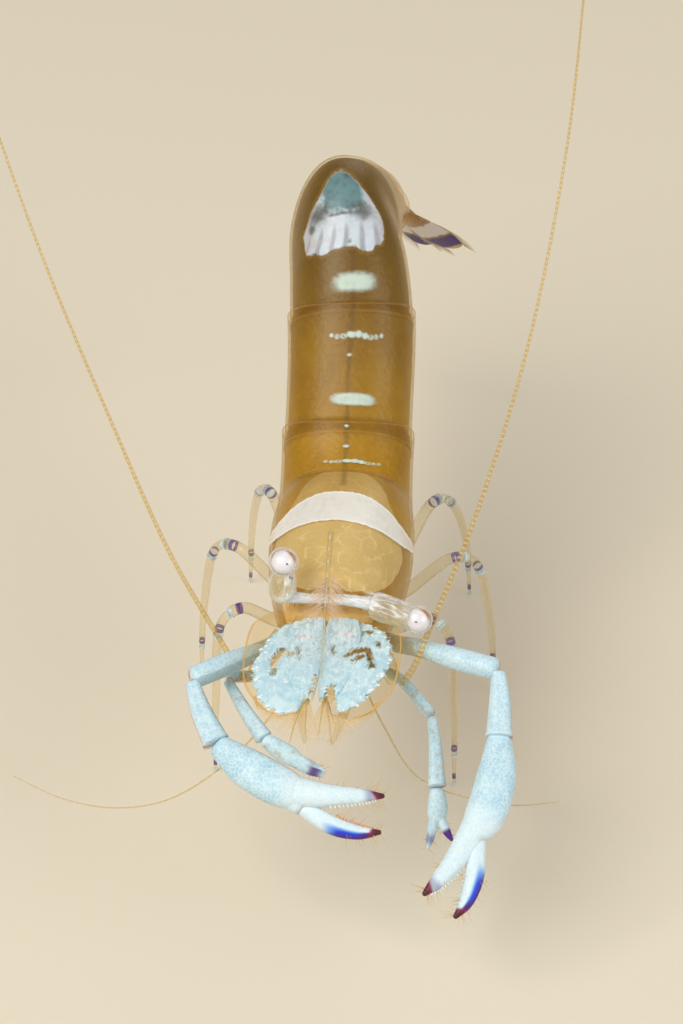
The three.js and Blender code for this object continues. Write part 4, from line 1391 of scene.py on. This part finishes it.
def toothed(shape, line, way, first, last, looks, count=13):
    """Adds small teeth along the side of a finger that meets its partner."""
    at, along, across, _, size = line.frame(np.linspace(first, last, count))
    out, wide = across * way, size[:, :1]
    roots, ways = at + out * wide * 0.88, unit(out + along * 0.4)
    for root, aim, reach in zip(roots, ways, 0.05 + wide[:, 0] * 0.2):
        shape.thorn(root, aim, reach, 0.035, looks)
    return shape


def edge_line(angle, way):
    """A thin line along the edge on one side of a limb."""
    return peak(np.cos(angle), 0.04, 0.3) * (np.sin(angle) * way > 0)


def tip_looks(line, points, way, blue=0.0):
    """The colours of a finger by the distance to its tip and by which side of it a point is on."""
    _, left, angle = line.nearest(points)
    outer = -np.sin(angle) * way
    length = line.lengths()[1][-1]
    faded = smooth_step(left + 0.25 * outer, 0.45 * length, 0.85 * length)
    band = smooth_step(left, 0.12, 0.34) * (1 - faded)
    blush = peak(left, 0.36, 0.2)
    on_edge = np.maximum(band * smooth_step(outer, 0.6, 0.97), blush * smooth_step(outer, -0.3, 0.6))
    return {
        "crimson": 1 - smooth_step(left - 0.06 * outer, 0.08, 0.44),
        "violet": on_edge if blue else 0.5 * blush,
        "blue": blue * band * smooth_step(outer, -0.35, 0.85),
        "rim": edge_line(angle, way if blue else -way),
        "whiter": 0.7 * (1 - smooth_step(left, 0.9 * length, 1.3 * length)),
    }


def claw_lines(side):
    """The axes of the palm, the fixed finger and the moving finger."""
    c = CLAWS[side]
    palm = Line(thick(longer(c.palm, 0.06), PALM_SIZES), c.flat)
    thumb = Line(thick(c.thumb, THUMB_SIZES), c.flat)
    return palm, thumb, Line(thick(longer(c.finger, 0.18), FINGER_SIZES), c.flat)


def claw_palm(side):
    """The palm and its fixed finger, one body, with a socket for the moving finger."""
    palm, thumb, finger = claw_lines(side)
    way = inward(thumb, finger)
    raw = Shape().tube(palm, 48, 0.05, caps=(0.1, 0.5), section=boxy(2.3))
    raw.tube(thumb, 40, 0.04, caps=(0.25, 0.04), section=boxy(2.2))
    at, along = finger.at(0.0)[:2]
    raw.tube(straight(at - along * 0.36, at + along * 0.1, 0.27, 0.21), 24, 0.05, caps=(0.15, 0.05))
    points, faces = melted(raw, easing=12)
    _, to_end, turn = palm.nearest(points)
    looks = tip_looks(thumb, points, way)
    on_thumb = smooth_step(-to_end, -0.2, 0.3)
    looks["rim"] = (looks["rim"] * on_thumb + edge_line(turn, -way) * (1 - on_thumb)) * RIMS[side]
    looks["hinge"] = peak(np.linalg.norm(points - at - along * 0.04, axis=1), 0, 0.24, 4)
    shape = toothed(Shape().add(points, faces, looks), thumb, way, 0.34, 0.86, {"whiter": 1})
    piece(shape, f"claw_hand_{side}", "claw", f"claw_palm_{side}")
    finger_hairs(f"claw_hairs_thumb_{side}", thumb, way)


def claw_finger(side):
    """The moving finger, blue along its outer edge."""
    _, thumb, finger = claw_lines(side)
    way = inward(finger, thumb)
    points, faces = melted(Shape().tube(finger, 40, 0.04, caps=(0.14, 0.04), section=boxy(2.2)))
    looks = tip_looks(finger, points, way, 1.0)
    looks["rim"] = looks["rim"] * RIMS[side]
    teeth = {"rim": 0.7 * RIMS[side]}
    shape = toothed(Shape().add(points, faces, looks), finger, way, 0.32, 0.86, teeth)
    piece(shape, f"claw_dactyl_{side}", "claw", f"claw_finger_{side}")
    finger_hairs(f"claw_hairs_finger_{side}", finger, way)


def finger_hairs(name, line, way, count=40, length=0.4):
    """Long golden hairs from a finger, most of them near its tip and its inner side."""
    u = 0.25 + 0.74 * RANDOM.uniform(0, 1, count) ** 0.7
    inner = RANDOM.uniform(0, 1, count) < 0.62
    angle = np.where(inner, 1.0, -1.0) * way * RANDOM.uniform(0.6, 2.4, count)
    at, along, across, above, size = line.frame(u)
    aside, up = across * np.sin(angle)[:, None], above * np.cos(angle)[:, None]
    roots = at + aside * size[:, :1] * 0.9 + up * size[:, 1:2] * 0.9
    ways = aside + up + along * RANDOM.uniform(0.3, 1.0, count)[:, None]
    lengths = length * RANDOM.uniform(0.5, 1.15, count) * np.interp(u, (0.2, 1), (0.75, 1.0))
    hairs(name, roots, ways, lengths, 0.0065, (0, 0, -0.06), "hair")


def arm_looks(way, clearer=0.0, joint=0.0):
    """The colours of an arm or a wrist: an orange line on one edge, a red joint at its far end."""
    return lambda g: {
        "rim": 0.8 * edge_line(g.angle, way),
        "clearer": clearer + 0 * g.u,
        "whiter": 0.3 + 0 * g.u,
        "stripe": smooth_step(np.sin(g.angle - 0.7), 0.1, 0.5) * smooth_step(g.gone, 0.1, 0.4),
        "joint": joint * peak(g.gone, g.total, 0.1) * smooth_step(way * np.sin(g.angle), 0.2, 0.8),
    }


def claw_arm(side):
    """The carpus, red where it meets the arm, and the merus, clearer towards the body."""
    c = CLAWS[side]
    wrist = Line(thick(longer(c.wrist, 0.06, 0.05), WRIST_SIZES), c.flat)
    plain = arm_looks(way_across(wrist, (SIDES[side], 0, 0)))
    shape = Shape().tube(wrist, 40, 0.04, caps=(0.09, 0.04), section=fluted,
                         looks=lambda g: {**plain(g), "joint": 0.9 * peak(g.gone, 0, 0.07)})
    piece(shape, f"claw_carpus_{side}", "claw", f"claw_wrist_{side}")
    arm = Line(thick(longer(c.arm, 0, 0.1), ARM_SIZES))
    jointed = arm_looks(way_across(arm, (0, 1, 0)), joint=1.0)

    def looks(g):
        return {**jointed(g), "clearer": 1.2 - 1.3 * smooth_step(g.u, 0.3, 0.8) - 0.35 * np.cos(g.angle)}

    shape = Shape().tube(arm, 36, 0.05, 0, 0.34, (0.1, 0.08), looks=looks)
    shape.tube(arm, 36, 0.05, 0.32, 1.0, (0.08, 0.14), boxy(2.3), looks)
    piece(shape, f"claw_merus_{side}", "claw", f"claw_arm_{side}")


# ---- first legs: the small claws that feed the mouth ----
PICKERS = {
    "left": SimpleNamespace(
        arm=[(0.6, 1.3, 4.6), (1.15, 0.5, 4.85), (1.85, -0.35, 5.22), (2.64, -1.26, 4.96)],
        wrist=[(2.7, -1.38, 4.9), (2.84, -2.1, 4.45), (2.93, -2.8, 3.99)],
        palm=[(2.94, -2.9, 3.91), (2.98, -3.2, 3.66), (2.98, -3.55, 3.4)],
        thumb=[(2.96, -3.3, 3.58), (2.86, -3.8, 3.22), (2.8, -4.1, 3.04)],
        finger=[(3.05, -3.4, 3.48), (3.25, -3.68, 3.26), (3.4, -3.84, 3.12)],
        violet=(0.55, 1.2), clearer=0.0,
    ),
    "right": SimpleNamespace(
        arm=[(-0.6, 1.3, 4.45), (-1.05, 0.3, 4.75), (-1.65, -0.45, 5.2), (-2.36, -0.93, 5.5)],
        wrist=[(-2.38, -1.05, 5.45), (-1.9, -1.7, 5.1), (-1.4, -2.28, 4.78)],
        palm=[(-1.34, -2.34, 4.74), (-0.9, -2.55, 4.58), (-0.45, -2.73, 4.44)],
        thumb=[(-0.7, -2.6, 4.52), (-0.2, -2.76, 4.4), (0.2, -2.88, 4.3)],
        finger=[(-0.62, -2.72, 4.42), (-0.2, -2.88, 4.28), (0.17, -2.97, 4.2)],
        violet=(0.35, 0.75), clearer=0.3,
    ),
}
PICKER_PALM = ovals((0.17, 0.14), (0.25, 0.18), (0.22, 0.16))


def picker_hand(side):
    """The palm with both its fingers, one body, violet towards the fingers' ends."""
    p = PICKERS[side]
    flat = CLAWS[side].flat
    palm = Line(thick(longer(p.palm, 0.06), PICKER_PALM), flat)
    fingers = {
        "thumb": Line(thick(p.thumb, (0.15, 0.11, 0.04)), flat),
        "finger": Line(thick(p.finger, (0.14, 0.1, 0.04)), flat),
    }
    raw = Shape().tube(palm, 30, 0.04, caps=(0.08, 0.2))
    for line in fingers.values():
        raw.tube(line, 20, 0.04, caps=(0.08, 0.03))
    points, faces = melted(raw)
    looks = {"whiter": 0.35, "clearer": p.clearer, "violet": np.zeros(len(points))}
    for line, strength in zip(fingers.values(), p.violet):
        u = line.nearest(points)[0]
        on = np.linalg.norm(points - line.frame(u)[0], axis=1) < 0.15
        share = smooth_step(u, 0.3, 0.6) * (1 - 0.8 * smooth_step(u, 0.7, 1.0) * (strength < 1))
        looks["violet"] = np.maximum(looks["violet"], np.where(on, share * strength, 0))
    piece(Shape().add(points, faces, looks), f"picker_hand_{side}", "claw", f"picker_claw_{side}")
    for part, line in fingers.items():
        finger_hairs(f"picker_hairs_{part}_{side}", line, 1, 14, 0.22)


def picker_arm(side):
    """The carpus and the merus of a small claw."""
    p = PICKERS[side]
    wrist = Line(thick(longer(p.wrist, 0.06, 0.05), (0.12, 0.17, 0.22)), CLAWS[side].flat)
    looks = arm_looks(way_across(wrist, (0, 1, 0.3)), 0.35)
    shape = Shape().tube(wrist, 28, 0.04, caps=(0.08, 0.04), section=fluted, looks=looks)
    piece(shape, f"picker_carpus_{side}", "claw", f"picker_wrist_{side}")
    arm = Line(thick(longer(p.arm, 0, 0.08), (0.18, 0.15, 0.14, 0.16)))
    shape = Shape().tube(arm, 24, 0.05, 0, 0.4, (0.08, 0.08), looks=arm_looks(1, 1.0))
    shape.tube(arm, 24, 0.05, 0.38, 1.0, (0.08, 0.1), looks=arm_looks(1, 0.35, 0.6))
    piece(shape, f"picker_merus_{side}", "claw", f"picker_arm_{side}")


# ---- walking legs ----
WALKING_LEGS = {
    3: [(0.75, 2.8, 4.6), (1.4, 2.55, 4.5), (2.4, 2.2, 5.15), (2.85, 1.95, 4.9), (3.05, 1.85, 2.6),
        (3.1, 1.75, 0)],
    4: [(0.78, 3.7, 4.55), (1.5, 4.0, 4.45), (2.75, 4.6, 5.2), (3.3, 4.95, 4.9), (3.75, 5.45, 2.6),
        (3.9, 5.6, 0)],
    5: [(0.75, 4.6, 4.6), (1.3, 5.4, 4.4), (2.05, 6.9, 5.1), (2.4, 7.6, 4.8), (2.85, 9.1, 2.5),
        (3.0, 9.6, 0)],
}
LEG_RADII = (0.24, 0.19, 0.16, 0.13, 0.11, 0.045)
LEG_CUTS = (0.0, 0.2, 0.52, 0.66, 0.93, 1.0)
LEG_OVERLAP = 0.006


def leg_looks(g):
    """White at both ends of a part of a leg, and violet before its far end."""
    return {
        "white": peak(g.gone, g.total, 0.12) + 0.9 * peak(g.gone, 0, 0.08),
        "violet": peak(g.gone, g.total - 0.3, 0.07),
    }


def walking_leg(number, side):
    """A leg of five parts, each a little thicker at its far end."""
    line = Line(mirrored(thick(WALKING_LEGS[number], LEG_RADII), SIDES[side]), (0, 1, 0))
    shape = Shape()
    for start, stop in zip(LEG_CUTS, LEG_CUTS[1:]):
        begin = start - LEG_OVERLAP if start else start

        def part(angle, size, u, low=begin, high=stop):
            t = np.clip((u - low) / (high - low), 0, 1)
            return oval(angle, size * (0.92 + 0.2 * t**6)[..., None], u)

        shape.tube(line, 20, 0.05, begin, stop, (0.08, 0.05), part, leg_looks)
    piece(shape, f"walking_leg_{number}_{side}", "limb", f"leg_{number}_{side}")


# ---- swimming legs ----
STEM = SimpleNamespace(joint=0.65, aside=0.55, sizes=(0.22, 0.19, 0.16))
LEAF_SIZES = ((0.1, 0.06, 0.06), (0.22, 0.05, 0.05), (0.2, 0.045, 0.045), (0.06, 0.03, 0.03))
LEAVES = ((0.12, 1.0), (-0.1, 0.88))  # how far out each leaf stands, and its share of the full length
LEAF_REACH = 1.9


def stem_looks(g):
    """White at the stem's joint, with a violet band above it."""
    return {"white": peak(g.gone, STEM.joint, 0.07), "violet": peak(g.gone, STEM.joint - 0.24, 0.06)}


def swimmeret(k, side):
    """A short stem and two hairy leaves, swept back under segment k."""
    sign = SIDES[side]
    at, along, across, above, size = TRUNK.at((SEGMENT_ENDS[k - 1] + SEGMENT_ENDS[k]) / 2)

    def point(down, back, out=0.0):
        return at - across * (STEM.aside + out) * sign - above * (0.6 * size[2] + down) + along * back

    stem = Line(thick([point(0, 0), point(0.35, 0.05), point(0.72, 0.12)], STEM.sizes), along)
    shape = Shape().tube(stem, 24, 0.05, looks=stem_looks)
    coats = []
    for spread, share in LEAVES:
        places = [
            point(0.66, 0.12, spread * 0.2),
            point(LEAF_REACH * 0.55, 0.3, spread),
            point(LEAF_REACH * 0.8 * share, 0.58, spread * 1.2),
            point(LEAF_REACH * 0.98 * share, 0.9, spread),
        ]
        leaf = Line(thick(places, LEAF_SIZES), along)
        shape.tube(leaf, 28, 0.05, caps=(0.08, 0.06), looks=BARE)
        coats.append(edge_hairs(leaf, 20, 0.3, 0.98, 0.34, 0.8))
    piece(shape, f"swimming_leg_{k}_{side}", "limb", f"swimmeret_{k}_{side}")
    return coats


def swimming_legs(side):
    """The five swimming legs of one side and their hairs."""
    coats = []
    for k in range(1, 6):
        coats += swimmeret(k, side)
    coat(f"swimming_hairs_{side}", coats, 0.008)


# ---- tail fan ----
FAN_LENGTH, FAN_DROP, FAN_CUP = 2.4, 0.5, 0.15  # how far it slopes down, and how hollow it is above
END = SimpleNamespace(**dict(zip(("at", "along", "across", "above"), TRUNK.at(1.0))))
FAN_BACK = unit(END.along - END.above * FAN_DROP)


def fan_line(spread, widths, lift, length, start, heights):
    """A blade of the fan, turned out by spread from the middle."""
    way = FAN_BACK * math.cos(spread) - END.across * math.sin(spread)
    above = unit(np.cross(way, END.across))
    root = END.at - END.across * start + END.above * lift + END.along * 0.12
    places = [root + way * length * share for share in np.linspace(0, 1, len(widths))]
    sizes = [(w, h, h * 0.8) for w, h in zip(widths, heights)]
    return Line(thick(places, sizes), above - END.across * FAN_CUP * spread)


def fan_looks(white, violet):
    """White and violet across a blade of the fan, at shares of its length."""
    return lambda g: {"white": 1.1 * peak(g.u, white, 0.16), "violet": 1.2 * peak(g.u, violet, 0.13)}


def telson():
    """The middle blade, with two pairs of spines on its back and two at its end."""
    line = fan_line(0, (0.4, 0.4, 0.3, 0.14), 0.5, FAN_LENGTH, 0, (0.22, 0.16, 0.1, 0.06))
    shape = Shape().tube(line, 48, 0.05, caps=(0.1, 0.06), section=boxy(2.4), looks=fan_looks(0.35, 0.8))
    for u in (0.5, 0.72):
        at, along, across, above, size = line.at(u)
        for way in (-1, 1):
            root = at + across * way * size[0] * 0.7 + above * size[1] * 0.6
            shape.thorn(root, unit(along + above * 0.25), 0.14, 0.03)
    at, along, across = line.at(0.985)[:3]
    for way, length in ((-1, 0.12), (-0.6, 0.3), (0.6, 0.3), (1, 0.12)):
        shape.thorn(at + across * way * 0.1, unit(along + across * way * 0.25), length, 0.03)
    piece(shape, "telson_blade", "tail", "telson")


PADDLES = {
    "inner": SimpleNamespace(spread=0.25, widths=(0.2, 0.4, 0.48, 0.26), lift=0.26, length=FAN_LENGTH,
                             start=0.36, violet=0.85),
    "outer": SimpleNamespace(spread=0.7, widths=(0.2, 0.48, 0.58, 0.36), lift=0.05, length=FAN_LENGTH - 0.1,
                             start=0.45, violet=0.8),
}


def paddle(which, side):
    """One of the four paddles beside the telson. Gives back its hairs."""
    p, sign = PADDLES[which], SIDES[side]
    line = fan_line(sign * p.spread, p.widths, p.lift, p.length, sign * p.start, (0.14, 0.1, 0.08, 0.05))
    shape = Shape().tube(line, 60, 0.05, caps=(0.1, 0.2), section=blade(0.0, 0.0, 0.05, 0.5),
                         looks=fan_looks(p.violet - 0.3, p.violet))
    piece(shape, f"tail_{which}_blade_{side}", "tail", f"tail_{which}_{side}")
    return edge_hairs(line, 44, 0.35, 0.99, 0.45, 0.5)


def paddles(side):
    """The two paddles of one side and their hairs."""
    coat(f"tail_hairs_{side}", [paddle(which, side) for which in PADDLES], 0.01, "tail_fan")


# ---- the animal ----
def on_both_sides(*makers):
    for side in SIDES:
        for make in makers:
            make(side)


for plate in range(7):
    shell_plate(plate)
body_core()
rostrum()
on_both_sides(eye, eyestalk)
eye_bar()
on_both_sides(antennule, antenna_scale)
on_both_sides(feeler, mouth_limb, exopod)
on_both_sides(claw_palm, claw_finger, claw_arm)
on_both_sides(picker_hand, picker_arm)
for leg_number in WALKING_LEGS:
    for side_name in SIDES:
        walking_leg(leg_number, side_name)
on_both_sides(swimming_legs)
telson()
on_both_sides(paddles)


# ---- studio: floor, light and camera ----
FLOOR_REACH = 0.6  # metres to each side
LAMPS = {  # place and size in metres, power in watts, colour
    "key": ((-0.09, -0.1, 0.16), 0.17, 0.36, (1, 0.98, 0.95)),
    "fill": ((0.14, -0.06, 0.08), 0.12, 0.11, (0.94, 0.97, 1)),
    "rim": ((0.04, 0.16, 0.09), 0.12, 0.04, (1, 1, 1)),
}
WORLD_STRENGTH = 0.35
VIEW = SimpleNamespace(elevation=38, azimuth=5, target=(0.24, 1.1, 9.27), distance=110, lens=157.8)


def pale_floor():
    corners = np.array([(-1, -1, 0), (1, -1, 0), (1, 1, 0), (-1, 1, 0)]) * FLOOR_REACH
    floor = object_of("floor", corners, [(0, 1, 2, 3)])
    p = Paint("floor")
    floor.data.materials.append(p.done(p.paint(rgb(226, 216, 196), 0.9)))


def aimed(name, data, place, way):
    """Puts a lamp or a camera at a place, looking along way."""
    made = bpy.data.objects.new(name, data)
    made.location = place
    made.rotation_mode = "QUATERNION"
    made.rotation_quaternion = way.to_track_quat("-Z", "Y")
    bpy.context.scene.collection.objects.link(made)
    return made


def studio():
    middle = Vector((CAD_LOW + CAD_HIGH) / 2)
    for name, (place, size, power, colour) in LAMPS.items():
        lamp = bpy.data.lights.new(name, "AREA")
        lamp.shape = "DISK"
        lamp.size = size
        lamp.energy = power
        lamp.color = colour
        aimed(name, lamp, place, middle - Vector(place))
    world = bpy.data.worlds.new("studio")
    world.use_nodes = True
    background = world.node_tree.nodes["Background"]
    background.inputs["Color"].default_value = rgb(232, 226, 214)
    background.inputs["Strength"].default_value = WORLD_STRENGTH
    bpy.context.scene.world = world


def camera():
    lifted, turned = math.radians(VIEW.elevation), math.radians(VIEW.azimuth)
    level = math.cos(lifted)
    back = Vector((math.sin(turned) * level, -math.cos(turned) * level, math.sin(lifted)))
    target = Vector(ORIGIN) + Vector(VIEW.target) * MM
    data = bpy.data.cameras.new("camera")
    data.sensor_width = 36
    data.lens = VIEW.lens
    data.clip_start, data.clip_end = 0.005, 5
    bpy.context.scene.camera = aimed("camera", data, target + back * VIEW.distance * MM, -back)


pale_floor()
studio()
camera()
bpy.context.scene.view_settings.view_transform = "Standard"
